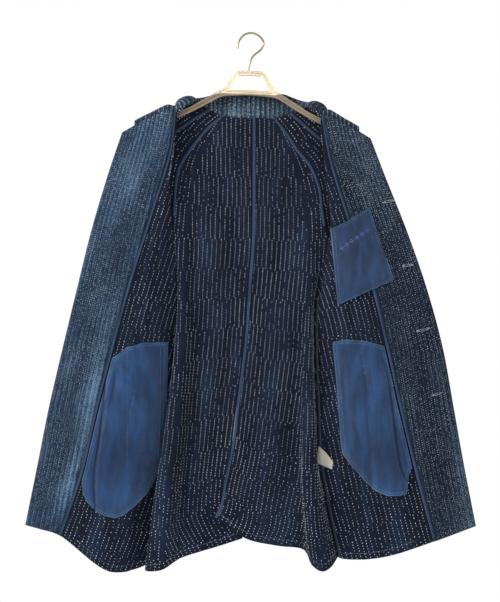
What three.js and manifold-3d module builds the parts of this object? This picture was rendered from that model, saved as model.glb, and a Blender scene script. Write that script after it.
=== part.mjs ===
// A long indigo work jacket of running-stitched cloth, hung open on a clear hanger.
// Its inside faces the viewer: the back in the middle, both fronts thrown out like wings,
// and the raglan sleeves behind them.
// Millimetres. X runs to the viewer's right, Y away from the viewer, Z up.
// The origin is the inner top of the hanger's hook, where a rail carries everything.
// A point of the jacket is [a, y, z], with a measured outwards from the middle on either side.
import * as THREE from "three";
import Module from "manifold-3d";
import { mergeVertices } from "three/addons/utils/BufferGeometryUtils.js";

const wasm = await Module();
wasm.setup();

// Thickness of each kind of cloth, and the gaps where pieces meet.
const CLOTH = 2;
const FACING_CLOTH = 1.6;
const TWILL = 1;
const TAPE = 0.9;
const LAID = 0.35;
const SEAM = 0.25;
const TAPE_WIDTH = 5;

// Cells along the armhole, along the side seam and along the sleeve below the armhole.
const ARMHOLE_CELLS = 8;
const BODY_CELLS = 21;
const SLEEVE_CELLS = 12;

const LEFT = -1;
const RIGHT = 1;
const sideName = (side) => (side === LEFT ? "left" : "right");

const jacket = new THREE.Group();
const finish = {
  cloth: { color: 0x18243a, roughness: 0.95 },
  worn: { color: 0x35587e, roughness: 0.9 },
  tape: { color: 0x2b4a76, roughness: 0.8 },
  twill: { color: 0x275286, roughness: 0.85 },
  label: { color: 0xe1d8be, roughness: 0.8 },
  button: { color: 0x1d2430, roughness: 0.4 },
  clear: { color: 0xf2f4f6, roughness: 0.15, transparent: true, opacity: 0.4 },
  wire: { color: 0xc9b48c, roughness: 0.25, metalness: 1 },
};

function add(name, geometry, look, parent = jacket) {
  const mesh = new THREE.Mesh(geometry, new THREE.MeshStandardMaterial(finish[look]));
  mesh.name = name;
  parent.add(mesh);
  return mesh;
}

// Lines and surfaces

const place = (side, points) => points.map(([a, y, z]) => new THREE.Vector3(side * a, y, z));
const smooth = (points) => new THREE.CatmullRomCurve3(points, false, "centripetal");

// Evenly spaced points along a smooth line, both ends included.
const spaced = (points, cells) => smooth(points).getSpacedPoints(cells);

// Points of a line whose first stretch, up to the share `split`, has its own number of cells.
function spacedInTwo(points, split, first, second) {
  const curve = smooth(points);
  const shares = [];
  for (let j = 0; j < first; j++) shares.push((split * j) / first);
  for (let j = 0; j <= second; j++) shares.push(split + ((1 - split) * j) / second);
  return shares.map((share) => curve.getPointAt(share));
}

// A grid of points, rows[j][i], across guide lines that have the same number of points.
function loft(guides, cells) {
  return guides[0].map((_, j) => {
    const across = smooth(guides.map((guide) => guide[j]));
    const row = [];
    cells.forEach((count, k) => {
      for (let i = 0; i < count; i++) {
        row.push(across.getPoint((k + i / count) / cells.length));
      }
    });
    row.push(guides.at(-1)[j].clone());
    return row;
  });
}

// Unit normals of a grid. They point to the jacket's inside where turn is 1.
function normalsOf(grid, turn) {
  return grid.map((row, j) =>
    row.map((_, i) => {
      const left = row[Math.max(i - 1, 0)];
      const right = row[Math.min(i + 1, row.length - 1)];
      const up = grid[Math.max(j - 1, 0)][i];
      const down = grid[Math.min(j + 1, grid.length - 1)][i];
      const along = right.clone().sub(left);
      const fall = down.clone().sub(up);
      return along.cross(fall).normalize().multiplyScalar(turn);
    }),
  );
}

// A panel: its grid, and the normals towards the jacket's inside.
const panel = (grid, turn) => ({ grid, normals: normalsOf(grid, turn) });

// Two panels that meet at a seam share its normals there, so that their edges are mitred.
function mitre(one, oneColumn, oneRow, other, otherColumn, otherRow, cells) {
  for (let k = 0; k <= cells; k++) {
    const a = one.normals[oneRow + k];
    const b = other.normals[otherRow + k];
    const i = oneColumn < 0 ? a.length - 1 : oneColumn;
    const j = otherColumn < 0 ? b.length - 1 : otherColumn;
    const shared = a[i].clone().add(b[j]).normalize();
    a[i] = shared;
    b[j] = shared.clone();
  }
}

// The part of a panel between two column positions, which may lie between columns.
function band(source, from, to) {
  const stops = [from];
  for (let i = Math.floor(from) + 1; i < to; i++) stops.push(i);
  stops.push(to);
  const pick = (rows) =>
    rows.map((row) =>
      stops.map((stop) => {
        const i = Math.min(Math.floor(stop), row.length - 2);
        return row[i].clone().lerp(row[i + 1], stop - i);
      }),
    );
  const normals = pick(source.normals).map((row) => row.map((n) => n.normalize()));
  return { grid: pick(source.grid), normals };
}

// Only some rows of a panel.
const rowsOf = (source, from, to) => ({
  grid: source.grid.slice(from, to + 1),
  normals: source.normals.slice(from, to + 1),
});

// A closed wall that follows a panel from `low` to `high` along its normals.
function wall({ grid, normals }, low, high) {
  const rows = grid.length;
  const columns = grid[0].length;
  const position = [];
  for (const height of [low, high]) {
    grid.forEach((row, j) =>
      row.forEach((point, i) => {
        position.push(...point.clone().addScaledVector(normals[j][i], height).toArray());
      }),
    );
  }
  const at = (layer, j, i) => layer * rows * columns + j * columns + i;
  const index = [];
  const quad = (a, b, c, d) => index.push(a, b, c, a, c, d);
  for (let j = 0; j < rows - 1; j++) {
    for (let i = 0; i < columns - 1; i++) {
      quad(at(0, j, i), at(0, j, i + 1), at(0, j + 1, i + 1), at(0, j + 1, i));
      // The far layer is split along the same diagonal, seen from its other side.
      const [a, b, c, d] = [at(1, j, i), at(1, j, i + 1), at(1, j + 1, i + 1), at(1, j + 1, i)];
      index.push(a, c, b, a, d, c);
    }
  }
  for (let i = 0; i < columns - 1; i++) {
    quad(at(0, 0, i + 1), at(0, 0, i), at(1, 0, i), at(1, 0, i + 1));
    const last = rows - 1;
    quad(at(0, last, i), at(0, last, i + 1), at(1, last, i + 1), at(1, last, i));
  }
  for (let j = 0; j < rows - 1; j++) {
    quad(at(0, j, 0), at(0, j + 1, 0), at(1, j + 1, 0), at(1, j, 0));
    const last = columns - 1;
    quad(at(0, j + 1, last), at(0, j, last), at(1, j, last), at(1, j + 1, last));
  }
  const geometry = new THREE.BufferGeometry();
  geometry.setAttribute("position", new THREE.Float32BufferAttribute(position, 3));
  geometry.setIndex(index);
  return facingOut(geometry);
}

// The same geometry with its faces turned round if they point inwards.
function facingOut(geometry) {
  const p = geometry.getAttribute("position");
  const index = geometry.index.array;
  const [a, b, c] = [new THREE.Vector3(), new THREE.Vector3(), new THREE.Vector3()];
  let volume = 0;
  for (let i = 0; i < index.length; i += 3) {
    a.fromBufferAttribute(p, index[i]);
    b.fromBufferAttribute(p, index[i + 1]);
    c.fromBufferAttribute(p, index[i + 2]);
    volume += a.dot(b.cross(c));
  }
  if (volume < 0) {
    for (let i = 0; i < index.length; i += 3) {
      [index[i + 1], index[i + 2]] = [index[i + 2], index[i + 1]];
    }
  }
  geometry.computeVertexNormals();
  return geometry;
}

const clothWall = (source) => wall(source, -CLOTH / 2, CLOTH / 2);

// What lies on the inner face of the cloth, or over `under` millimetres of other layers there.
function laidInside(source, thickness, under = 0) {
  const low = CLOTH / 2 + LAID + under;
  return wall(source, low, low + thickness);
}

const laidOutside = (source, thickness) =>
  wall(source, -CLOTH / 2 - LAID - thickness, -CLOTH / 2 - LAID);

// Moves the first and last columns a little inwards, which leaves the gap at a seam.
// The last column's move may be a function of the row.
function trimmed(grid, first, lastOf) {
  return grid.map((row, j) => {
    const last = typeof lastOf === "function" ? lastOf(j) : lastOf;
    const inset = (from, to, length) =>
      from.clone().add(to.clone().sub(from).setLength(length));
    const copy = row.map((point) => point.clone());
    if (first) copy[0] = inset(row[0], row[1], first);
    if (last) copy[copy.length - 1] = inset(row.at(-1), row.at(-2), last);
    return copy;
  });
}

// Solids, for cutting and joining

function solid(geometry) {
  const bare = new THREE.BufferGeometry();
  bare.setAttribute("position", geometry.getAttribute("position"));
  bare.setIndex(geometry.index);
  const merged = mergeVertices(bare, 1e-3);
  return new wasm.Manifold(
    new wasm.Mesh({
      numProp: 3,
      vertProperties: merged.getAttribute("position").array,
      triVerts: new Uint32Array(merged.index.array),
    }),
  );
}

function geometryOf(body) {
  const { vertProperties, numProp, triVerts } = body.getMesh();
  const geometry = new THREE.BufferGeometry();
  const count = vertProperties.length / numProp;
  const position = new Float32Array(count * 3);
  for (let i = 0; i < count; i++) {
    position.set(vertProperties.subarray(i * numProp, i * numProp + 3), i * 3);
  }
  geometry.setAttribute("position", new THREE.BufferAttribute(position, 3));
  geometry.setIndex(new THREE.BufferAttribute(triVerts, 1));
  geometry.computeVertexNormals();
  return geometry;
}

// A prism along Y over an outline of [x, z] points.
function prism(outline, near, far, holes = []) {
  const corners = outline.map(([x, z]) => new THREE.Vector2(x, z));
  if (THREE.ShapeUtils.isClockWise(corners)) corners.reverse();
  const shape = new THREE.Shape(corners);
  holes.forEach((hole) => {
    shape.holes.push(new THREE.Path(hole.map(([x, z]) => new THREE.Vector2(x, z))));
  });
  const geometry = new THREE.ExtrudeGeometry(shape, { depth: far - near, bevelEnabled: false });
  const position = geometry.getAttribute("position");
  for (let i = 0; i < position.count; i++) {
    const [x, z, depth] = [position.getX(i), position.getY(i), position.getZ(i)];
    position.setXYZ(i, x, far - depth, z);
  }
  return geometry;
}

// A layer of a panel cut to an outline of [a, z] points.
function cutOut(layer, side, outline) {
  const plan = outline.map(([a, z]) => [side * a, z]);
  return geometryOf(solid(layer).intersect(solid(prism(plan, -200, 200))));
}

// Guide lines of the jacket, from the top down

// The armhole seam of the back, from the neck to the underarm, and the side seam below it.
const armhole = {
  [LEFT]: [
    [57, 12, -150], [82, 12, -170], [101, 12, -192], [116, 12, -211], [129, 12, -230],
    [137, 12, -246], [142, 12, -268], [144.5, 11, -300], [146, 8, -335], [147, 5, -366],
  ],
  [RIGHT]: [
    [46, 12, -155], [67, 12, -181], [88.6, 12, -213.5], [110.6, 12, -240], [121, 12, -262],
    [129, 12, -286], [132, 11, -315], [137, 8, -350], [145, 5, -385],
  ],
};

const sideSeam = {
  [LEFT]: [
    [147, 5, -366], [134, 15, -470], [132, 18, -570], [137, 18, -675], [146, 18, -780],
    [162, 16, -880], [184, 13, -978],
  ],
  [RIGHT]: [
    [145, 5, -385], [130, 11, -430], [118, 16, -485], [115, 17, -600], [118, 17, -700],
    [121, 16, -790], [134, 14, -855], [160, 6, -968],
  ],
};

// The fronts: front edge, middle of the facing, facing edge, two lines of the front itself.
const frontGuides = {
  [LEFT]: [
    [
      [238, -12, -184], [262, -12, -255], [294, -12, -362], [321, -11, -471],
      [347.5, -10, -580], [373, -9, -690], [395, -8, -800], [417, -7, -907],
    ],
    [
      [192, -14, -159], [206, -14, -237], [241, -14, -350], [273, -14, -463],
      [302, -13, -576], [330, -12, -690], [355, -11, -804], [386, -10, -915],
    ],
    [
      [141.5, -14, -142], [151, -14, -218], [188, -15, -338], [224.7, -16, -455],
      [256.6, -16, -571.6], [287, -16, -689], [315, -16, -808], [355, -14, -924],
    ],
    [
      [151.5, -12, -256], [165, -14, -372], [180, -16, -485], [200, -17, -600],
      [222, -18, -730], [243, -19, -860], [262, -17, -991],
    ],
    [
      [150, -5, -312], [147, 3, -420], [149, 8, -530], [156, 8, -640],
      [169, 7, -750], [191, 4, -865], [213, 0, -989],
    ],
  ],
  [RIGHT]: [
    [
      [219, -12, -195], [245.5, -12, -264], [286.8, -12, -368], [323, -11, -473],
      [352, -10, -580], [372, -9, -689], [392, -8, -800], [413.5, -7, -909],
    ],
    [
      [177, -14, -170], [196, -14, -247], [234, -14, -356], [273, -14, -466],
      [302, -13, -577], [325, -12, -691], [349, -11, -805], [377, -10, -922],
    ],
    [
      [132, -14, -150], [146, -14, -229], [181.6, -15, -345], [223, -16, -459],
      [252.2, -16, -575], [278.6, -16, -693.6], [306.5, -16, -810], [340, -14, -935],
    ],
    [
      [138, -10, -262], [158, -13, -380], [178, -15, -490], [196, -16, -600],
      [213, -17, -715], [228, -16, -840], [240, -14, -966],
    ],
    [
      [147, -2, -345], [143, 2, -430], [136, 7, -535], [139, 8, -640],
      [145, 7, -750], [154, 4, -860], [171, -1, -971],
    ],
  ],
};
const FRONT_CELLS = [2, 2, 3, 4, 4];
const FACING_COLUMNS = 4;

// The back, from the centre seam to the last line before the side seam.
// The centre seam drifts to the left and opens into a short vent.
const backGuides = {
  [LEFT]: [
    [
      [-1.7, 12, -153], [-1.7, 13, -326], [0, 14, -397], [5.4, 14, -461], [13, 14, -570],
      [25.5, 13, -670], [36, 12, -759], [50.5, 9, -831], [57.5, 9, -873], [16, 7, -934],
    ],
    [
      [20, 12, -152.6], [25, 13, -260], [34, 14, -370], [42, 14, -480], [48, 13, -590],
      [55, 11, -690], [66, 10, -780], [78, 8, -858], [60, 5, -948],
    ],
    [
      [40, 12, -151.5], [60, 12, -250], [70, 12, -360], [75, 11, -480], [78, 9, -590],
      [82, 6, -690], [92, 4, -780], [102, 2, -858], [95, -4, -957],
    ],
    [
      [48, 12, -151], [84, 12, -240], [102, 10, -360], [106, 6, -480], [108, 2, -590],
      [110, -2, -690], [118, -4, -780], [126, -6, -860], [132, -12, -968],
    ],
    [
      [52, 12, -150.6], [100, 11, -236], [120, 6, -360], [124, -4, -480], [128, -13, -590],
      [135, -21, -690], [145, -28, -780], [155, -34, -862], [165, -36, -985],
    ],
    [
      [54.5, 12, -150.3], [112, 12, -235], [136, 6, -360], [134, -2, -480], [142, -7, -590],
      [153, -13, -690], [166, -17, -780], [180, -22, -868], [194, -25, -988],
    ],
  ],
  [RIGHT]: [
    [
      [1.7, 12, -153], [1.7, 13, -326], [0, 14, -397], [-5.4, 14, -461], [-13, 14, -570],
      [-25.5, 13, -670], [-36, 12, -759], [-50.5, 8.5, -831], [-57.5, 3, -870], [-69, -2, -893],
    ],
    [
      [16, 12, -153], [28, 13, -300], [30, 13, -410], [26, 13, -520], [20, 12, -630],
      [10, 10, -740], [-2, 5, -830], [-11, -2, -933],
    ],
    [
      [31, 12, -154], [58, 13, -300], [66, 12, -410], [66, 11, -520], [62, 10, -630],
      [56, 7, -740], [50, 3, -830], [46, -3, -946],
    ],
    [
      [39, 12, -154.5], [82, 12, -290], [94, 8, -410], [92, 8, -510], [88, 7, -620],
      [88, 5, -730], [92, 4, -845], [98, 2, -955],
    ],
    [
      [42, 12, -154.8], [96, 12, -284], [108, 5, -410], [104, 2, -510], [100, -3, -620],
      [99, -8, -730], [97, -16, -848], [111, -24, -978],
    ],
    [
      [44, 12, -154.9], [108, 12, -280], [113, 1, -410], [107, -2, -510], [108, -8, -620],
      [110, -16, -730], [113, -26, -855], [128, -34, -988],
    ],
    [
      [45, 12, -155], [116, 12, -278], [118, 0, -410], [111, 3, -510], [113, 2, -620],
      [118, -4, -730], [125, -14, -860], [144, -20, -984],
    ],
  ],
};
const BACK_CELLS = { [LEFT]: [2, 2, 2, 2, 2, 2], [RIGHT]: [2, 2, 2, 1, 1, 1, 2] };

// The sleeves: the crest over the hanger's arm and down the outer edge,
// the armhole seam of the front, and the underarm seam.
const crest = {
  [LEFT]: [
    [104, 0, -124.5], [120, 0, -131.5], [150, 0, -143.5], [187, 0, -155], [205, 0, -163],
    [226, 2, -182], [240, 6, -215], [252, 8, -260], [270, 10, -320], [286, 12, -390],
    [300, 14, -480], [305, 15, -600], [304, 16, -700], [300, 16, -785],
  ],
  [RIGHT]: [
    [104, 0, -134], [120, 0, -142.9], [150, 0, -157.6], [187, 0, -172.4], [200, 0, -182],
    [212, 2, -205], [226, 6, -245], [244, 8, -300], [264, 10, -360], [285, 12, -430],
    [300, 14, -500], [305, 15, -600], [304, 16, -700], [300, 16, -785],
  ],
};
const CREST_AT_UNDERARM = { [LEFT]: 0.33, [RIGHT]: 0.32 };
const frontArmhole = {
  [LEFT]: [
    [141, -11, -143], [146, -10.8, -178], [149, -10.6, -202], [152.5, -9.5, -218],
    [155, -7.5, -250], [154.5, -4, -290], [153, 0.5, -330], [151.5, 4, -366],
  ],
  [RIGHT]: [
    [132.5, -11, -151], [135, -10.8, -170], [138, -10.6, -202], [142, -9.5, -240],
    [144.5, -7, -280], [146.5, -2.5, -320], [148.5, 1.5, -350], [149.5, 4, -385],
  ],
};
const underarm = {
  [LEFT]: [
    [147, 5, -366], [152, 15, -420], [160, 17, -500], [167, 17, -600], [173, 17, -700],
    [178, 17, -785],
  ],
  [RIGHT]: [
    [145, 5, -385], [150, 15, -435], [158, 17, -505], [166, 17, -600], [173, 17, -700],
    [178, 17, -785],
  ],
};
const SLEEVE_BULGE = 19;
const OVERARM_COLUMN = 4;

// The collar, the buttons and what is sewn on the fronts: outlines are [a, z].
const COLLAR_HEIGHT = 39;
const COLLAR_GAP = { back: 0.7, crest: 2 };
const COLLAR_STEP = 9;
const BUTTON_RADIUS = 10;
const BUTTON_THICKNESS = 3;
const BUTTON_LIFT = 2.2;
const BUTTON_ROWS = [3, 7, 10, 14];
const WELT = 1.4;
const LABEL = 0.7;

const pocketBag = {
  [LEFT]: [
    [256, -599], [228, -579], [197, -570], [156, -570.5], [158, -706], [161, -784],
    [166, -795], [179, -823], [193, -849], [214, -869.5], [236, -888], [250, -893],
    [271, -888], [286, -879], [302, -863], [309, -849], [311.5, -823], [307, -808],
    [279, -689],
  ],
  [RIGHT]: [
    [153, -569], [175, -565], [207, -567], [243.5, -577], [270, -693.6], [295, -800],
    [289, -813], [285, -849], [250, -852], [228, -843], [210, -827], [189, -802],
    [169, -777], [166, -759], [158.7, -652], [151.5, -578],
  ],
};
const pocketWelt = {
  [LEFT]: [[170, -604], [250, -596], [252, -614], [172, -622]],
  [RIGHT]: [[166, -600], [240, -592], [242, -610], [168, -618]],
};
const chestPocket = [[149, -361], [179, -346], [216, -322], [261, -455], [161, -501]];
const careLabel = [[129, -765], [128.5, -797], [150, -806], [153, -790]];

// Builds every cloth panel of one side.
function panelsOf(side) {
  const armholeLine = spaced(place(side, armhole[side]), ARMHOLE_CELLS);
  const sideLine = spaced(place(side, sideSeam[side]), BODY_CELLS);
  const outerLine = armholeLine.slice(0, -1).concat(sideLine);

  const fronts = frontGuides[side].map((line) => spaced(place(side, line), BODY_CELLS));
  const frontGrid = loft([...fronts, sideLine], FRONT_CELLS);
  frontGrid[0] = frontGrid[0].map((top, i) =>
    top.clone().add(frontGrid[1][i].clone().sub(top).setLength(4 * SEAM)),
  );
  const clear = (j) => THREE.MathUtils.lerp(22, 3, THREE.MathUtils.smoothstep(j, 1, 5)) * SEAM;
  const front = panel(trimmed(frontGrid, 0, clear), side);

  const armholeLength = smooth(place(side, armhole[side])).getLength();
  const sideLength = smooth(place(side, sideSeam[side])).getLength();
  const split = armholeLength / (armholeLength + sideLength);
  const backs = backGuides[side].map((line) =>
    spacedInTwo(place(side, line), split, ARMHOLE_CELLS, BODY_CELLS),
  );
  const backGrid = loft([...backs, outerLine], BACK_CELLS[side]);
  const clearBack = (j) => (3 + 7 * Math.max(0, 3 - Math.abs(j - ARMHOLE_CELLS - 1))) * SEAM;
  const back = panel(trimmed(backGrid, SEAM, clearBack), -side);
  const { sleeveBack, sleeveFront } = sleeveOf(side, armholeLine);
  mitre(sleeveBack, -1, 0, sleeveFront, 0, 0, ARMHOLE_CELLS + SLEEVE_CELLS);
  mitre(back, -1, 0, sleeveBack, 0, 0, ARMHOLE_CELLS);
  mitre(front, -1, 0, back, -1, ARMHOLE_CELLS, BODY_CELLS);
  return { front, back, sleeveBack, sleeveFront };
}

// A sleeve is a flattened ring that runs from the back's armhole seam over the crest
// to the front's armhole seam, and below the underarm from the underarm seam back to itself.
function sleeveOf(side, armholeLine) {
  const crestLine = spacedInTwo(
    place(side, crest[side]), CREST_AT_UNDERARM[side], ARMHOLE_CELLS, SLEEVE_CELLS,
  );
  const frontLine = spaced(place(side, frontArmhole[side]), ARMHOLE_CELLS);
  const underLine = spaced(place(side, underarm[side]), SLEEVE_CELLS);
  const backEdge = armholeLine.slice(0, -1).concat(underLine);
  const shares = [0, 0.03, 0.12, 0.3, 0.5, 0.7, 0.86, 0.96];
  const ring = crestLine.map((top, j) => {
    const lower = j - ARMHOLE_CELLS;
    const open = THREE.MathUtils.smoothstep(lower, -4, 2);
    const frontEdge =
      lower <= 0 ? frontLine[j] : underLine[lower].clone().add(new THREE.Vector3(0, -2.7, 0));
    const layer = (edge, sign) =>
      shares.map((share) => {
        const round = Math.sqrt(1 - share ** 4);
        const full = round * Math.sqrt(1 - (1 - share) ** 4);
        const point = edge.clone().lerp(top, share);
        const flat = THREE.MathUtils.lerp(top.y, edge.y, round);
        const hollow = point.y + sign * SLEEVE_BULGE * full;
        point.y = THREE.MathUtils.lerp(flat, hollow, open);
        return point;
      });
    return [...layer(backEdge[j], 1), top.clone(), ...layer(frontEdge, -1).reverse()];
  });
  const whole = panel(trimmed(ring, 3 * SEAM, 0), -side);
  const part = (rows, from, to) => rows.map((row) => row.slice(from, to));
  return {
    sleeveBack: {
      grid: trimmed(part(whole.grid, 0, OVERARM_COLUMN + 1), 0, SEAM),
      normals: part(whole.normals, 0, OVERARM_COLUMN + 1),
    },
    sleeveFront: {
      grid: trimmed(part(whole.grid, OVERARM_COLUMN), SEAM, 0),
      normals: part(whole.normals, OVERARM_COLUMN),
    },
  };
}

// A strip of tape, `offset` from a column of a panel and `width` wide, towards +1 or -1.
function strip(source, column, towards, offset = 0.6, width = TAPE_WIDTH) {
  const stops = [offset, offset + width];
  if (towards < 0) stops.reverse();
  const grid = [];
  const normals = [];
  source.grid.forEach((row, j) => {
    const i = column < 0 ? row.length - 1 : column;
    const step = row[i + towards].clone().sub(row[i]);
    const length = step.length();
    grid.push(stops.map((stop) => row[i].clone().addScaledVector(step, stop / length)));
    normals.push(stops.map(() => source.normals[j][i + towards].clone()));
  });
  return { grid, normals };
}

// The stand collar rises from the neck seam. It stands at the back and rolls over at the fronts.
function collarPanel(panels) {
  const half = (side) => {
    const { front, back, sleeveBack, sleeveFront } = panels[side];
    const path = [
      ...front.grid[0].slice(1, FACING_COLUMNS),
      ...sleeveFront.grid[0].slice().reverse(),
      ...sleeveBack.grid[0].slice().reverse(),
      ...back.grid[0].slice(1, -1).reverse(),
    ];
    const kept = [path[0]];
    path.forEach((point) => {
      if (point.distanceTo(kept.at(-1)) >= COLLAR_STEP) kept.push(point);
    });
    return kept.map((point) => ({ point, side }));
  };
  const stations = [...half(LEFT), ...half(RIGHT).reverse()];
  const columns = stations.map(({ point, side }) => {
    const out = Math.abs(point.x);
    const roll = THREE.MathUtils.smoothstep(out, 50, 104);
    const rise = THREE.MathUtils.lerp(COLLAR_HEIGHT, 11, roll);
    const fold = THREE.MathUtils.lerp(1.5, 24, roll);
    const gap = THREE.MathUtils.lerp(COLLAR_GAP.back, COLLAR_GAP.crest, roll);
    const sideways = roll * (1 - THREE.MathUtils.smoothstep(out, 104, 150));
    const away = new THREE.Vector3(side * sideways, 1 - 0.6 * sideways, 0).normalize();
    const profile = [[0, 0], [0.06, 0.5], [0.3, 0.93], [0.7, 1], [1, 1 - 0.35 * roll]];
    return profile.map(([across, up]) =>
      point.clone().addScaledVector(away, fold * across)
        .add(new THREE.Vector3(0, 0, gap + rise * up)),
    );
  });
  const grid = columns[0].map((_, j) => columns.map((column) => column[j]));
  return panel(grid, 1);
}

// The hanger, drawn in its own upright frame and tilted a little at the hook

const HANGER_TILT = THREE.MathUtils.degToRad(2.2);
const WIRE_RADIUS = 1.8;
const FLANGE_HALF = 4.9;
const WEB_HALF = 1.2;
const RIM = 2.5;

// Half outlines, [x, z], from the middle to the right end and back along the underside.
const hangerTop = [[0, -69], [24, -70], [29, -74], [47, -103], [80, -122.5], [110, -140.5],
  [150, -159.5], [176, -172], [181, -175.5]];
const hangerUnder = [[177, -181], [150, -169.5], [110, -151], [80, -134], [56, -120],
  [44, -116], [0, -113]];
const hangerWindow = [[0, -76.8], [21, -77.5], [38, -106], [0, -105]];

const mirrored = (points) => points.map(([x, z]) => [-x, z]).reverse();
const hangerOutline = [
  ...hangerTop, ...hangerUnder, ...mirrored(hangerUnder.slice(0, -1)), ...mirrored(hangerTop).slice(0, -1),
];
const windowOutline = [...hangerWindow, ...mirrored(hangerWindow).slice(1, -1)];

// The outline moved inwards by a distance, corner by corner. A negative distance moves it out.
function inset(outline, distance) {
  const n = outline.length;
  let area = 0;
  outline.forEach(([x, z], i) => {
    const [nx, nz] = outline[(i + 1) % n];
    area += x * nz - nx * z;
  });
  const turn = Math.sign(area);
  return outline.map(([x, z], i) => {
    const [px, pz] = outline[(i + n - 1) % n];
    const [nx, nz] = outline[(i + 1) % n];
    const a = new THREE.Vector2(x - px, z - pz).normalize();
    const b = new THREE.Vector2(nx - x, nz - z).normalize();
    const normal = new THREE.Vector2(-(a.y + b.y), a.x + b.x).normalize();
    const reach = (turn * distance) / Math.max(0.35, normal.dot(new THREE.Vector2(-a.y, a.x)));
    return [x + normal.x * reach, z + normal.y * reach];
  });
}

function hangerBody() {
  const web = solid(prism(hangerOutline, -WEB_HALF, WEB_HALF, [windowOutline]));
  const rim = solid(prism(hangerOutline, -FLANGE_HALF, FLANGE_HALF, [inset(hangerOutline, RIM)]));
  const edge = inset(windowOutline, -RIM);
  const frame = solid(prism(edge, -FLANGE_HALF, FLANGE_HALF, [windowOutline]));
  return geometryOf(web.add(rim).add(frame));
}

function hangerHook() {
  const line = [[-25, -28], [-22, -13], [-13, -2], [0, WIRE_RADIUS], [13, -2.5], [22, -12],
    [23, -19], [18, -29], [9, -36.5], [2.5, -44], [-1, -54], [-3.5, -68.5]];
  const path = smooth(line.map(([x, z]) => new THREE.Vector3(x, 0, z)));
  const ring = new THREE.Shape().absarc(0, 0, WIRE_RADIUS, 0, 2 * Math.PI);
  const geometry = new THREE.ExtrudeGeometry(ring, {
    extrudePath: path, steps: 44, curveSegments: 5, bevelEnabled: false,
  });
  return geometry;
}

// A sew-through button with a raised rim and four holes, its axis along Y.
function buttonGeometry() {
  const [r, t] = [BUTTON_RADIUS, BUTTON_THICKNESS];
  const profile = [[0, -t / 2], [r - 1, -t / 2], [r, 0], [r - 1, t / 2], [r - 3, t / 2 - 0.8],
    [0, t / 2 - 0.8]].map(([x, y]) => new THREE.Vector2(x, y));
  let body = solid(bareIndexed(new THREE.LatheGeometry(profile, 18)));
  for (let k = 0; k < 4; k++) {
    const hole = new THREE.CylinderGeometry(0.9, 0.9, 3 * t, 6);
    const angle = Math.PI / 4 + (k * Math.PI) / 2;
    hole.translate(2.2 * Math.cos(angle), 0, 2.2 * Math.sin(angle));
    body = body.subtract(solid(bareIndexed(hole)));
  }
  return geometryOf(body);
}

// Position only, with the vertices of one place joined.
function bareIndexed(geometry) {
  const copy = geometry.clone();
  copy.deleteAttribute("normal");
  copy.deleteAttribute("uv");
  return mergeVertices(copy, 1e-3);
}

const panels = { [LEFT]: panelsOf(LEFT), [RIGHT]: panelsOf(RIGHT) };

for (const side of [LEFT, RIGHT]) {
  const name = sideName(side);
  const { front, back, sleeveBack, sleeveFront } = panels[side];
  add(`back_${name}`, clothWall(back), "cloth");
  add(`front_${name}`, clothWall(front), "cloth");
  add(`sleeve_back_${name}`, clothWall(sleeveBack), "cloth");
  add(`sleeve_front_${name}`, clothWall(sleeveFront), "cloth");
  add(`facing_${name}`, laidInside(band(front, 0.02, FACING_COLUMNS), FACING_CLOTH), "worn");
  const facingEdge = strip(front, FACING_COLUMNS, 1);
  const raglan = strip(rowsOf(back, 0, ARMHOLE_CELLS - 1), -1, -1);
  const overarm = strip(sleeveBack, -1, -1);
  const sideTape = strip(rowsOf(front, 4, BODY_CELLS), front.grid[0].length - 2, -1);
  add(`binding_facing_${name}`, laidInside(facingEdge, TAPE), "tape");
  add(`binding_raglan_${name}`, laidInside(raglan, TAPE, LAID), "tape");
  add(`binding_overarm_${name}`, laidInside(overarm, TAPE), "tape");
  add(`binding_side_${name}`, laidInside(sideTape, TAPE), "tape");
  const bag = cutOut(laidInside(front, TWILL), side, pocketBag[side]);
  add(`pocket_bag_${name}`, bag, "twill");
  add(`pocket_welt_${name}`, cutOut(laidOutside(front, WELT), side, pocketWelt[side]), "worn");
}

add("binding_centre_back", laidInside(strip(panels[RIGHT].back, 0, 1), TAPE), "tape");
add("collar", clothWall(collarPanel(panels)), "cloth");

const overFacing = laidInside(panels[RIGHT].front, TWILL, FACING_CLOTH + LAID);
add("chest_pocket", cutOut(overFacing, RIGHT, chestPocket), "twill");
const overTape = laidInside(panels[RIGHT].front, LABEL, TAPE + LAID);
add("care_label", cutOut(overTape, RIGHT, careLabel), "label");

// The buttons lie on the outer face of the left front, on its normals.
BUTTON_ROWS.forEach((row, k) => {
  const { grid, normals } = panels[LEFT].front;
  const out = normals[row][1].clone().negate();
  const button = add(`button_${k + 1}`, buttonGeometry(), "button");
  button.position.copy(grid[row][1]).addScaledVector(out, CLOTH / 2 + BUTTON_LIFT);
  button.quaternion.setFromUnitVectors(new THREE.Vector3(0, 1, 0), out);
});

const hanger = new THREE.Group();
hanger.rotation.y = HANGER_TILT;
jacket.add(hanger);
add("hanger_body", hangerBody(), "clear", hanger);
add("hanger_hook", hangerHook(), "wire", hanger);

export default jacket;
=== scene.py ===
# %% [markdown]
# # A jacket of running-stitched indigo cloth, open on a clear hanger
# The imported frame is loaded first: it holds every piece at its real size.
# Lengths below are in millimetres, as on a maker's table, unless a comment says metres,
# and MM turns them to metres.

# %% Load the frame
import math

import bmesh
import bpy
import numpy as np
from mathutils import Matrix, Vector
from mathutils.bvhtree import BVHTree
from mathutils.geometry import delaunay_2d_cdt


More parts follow.
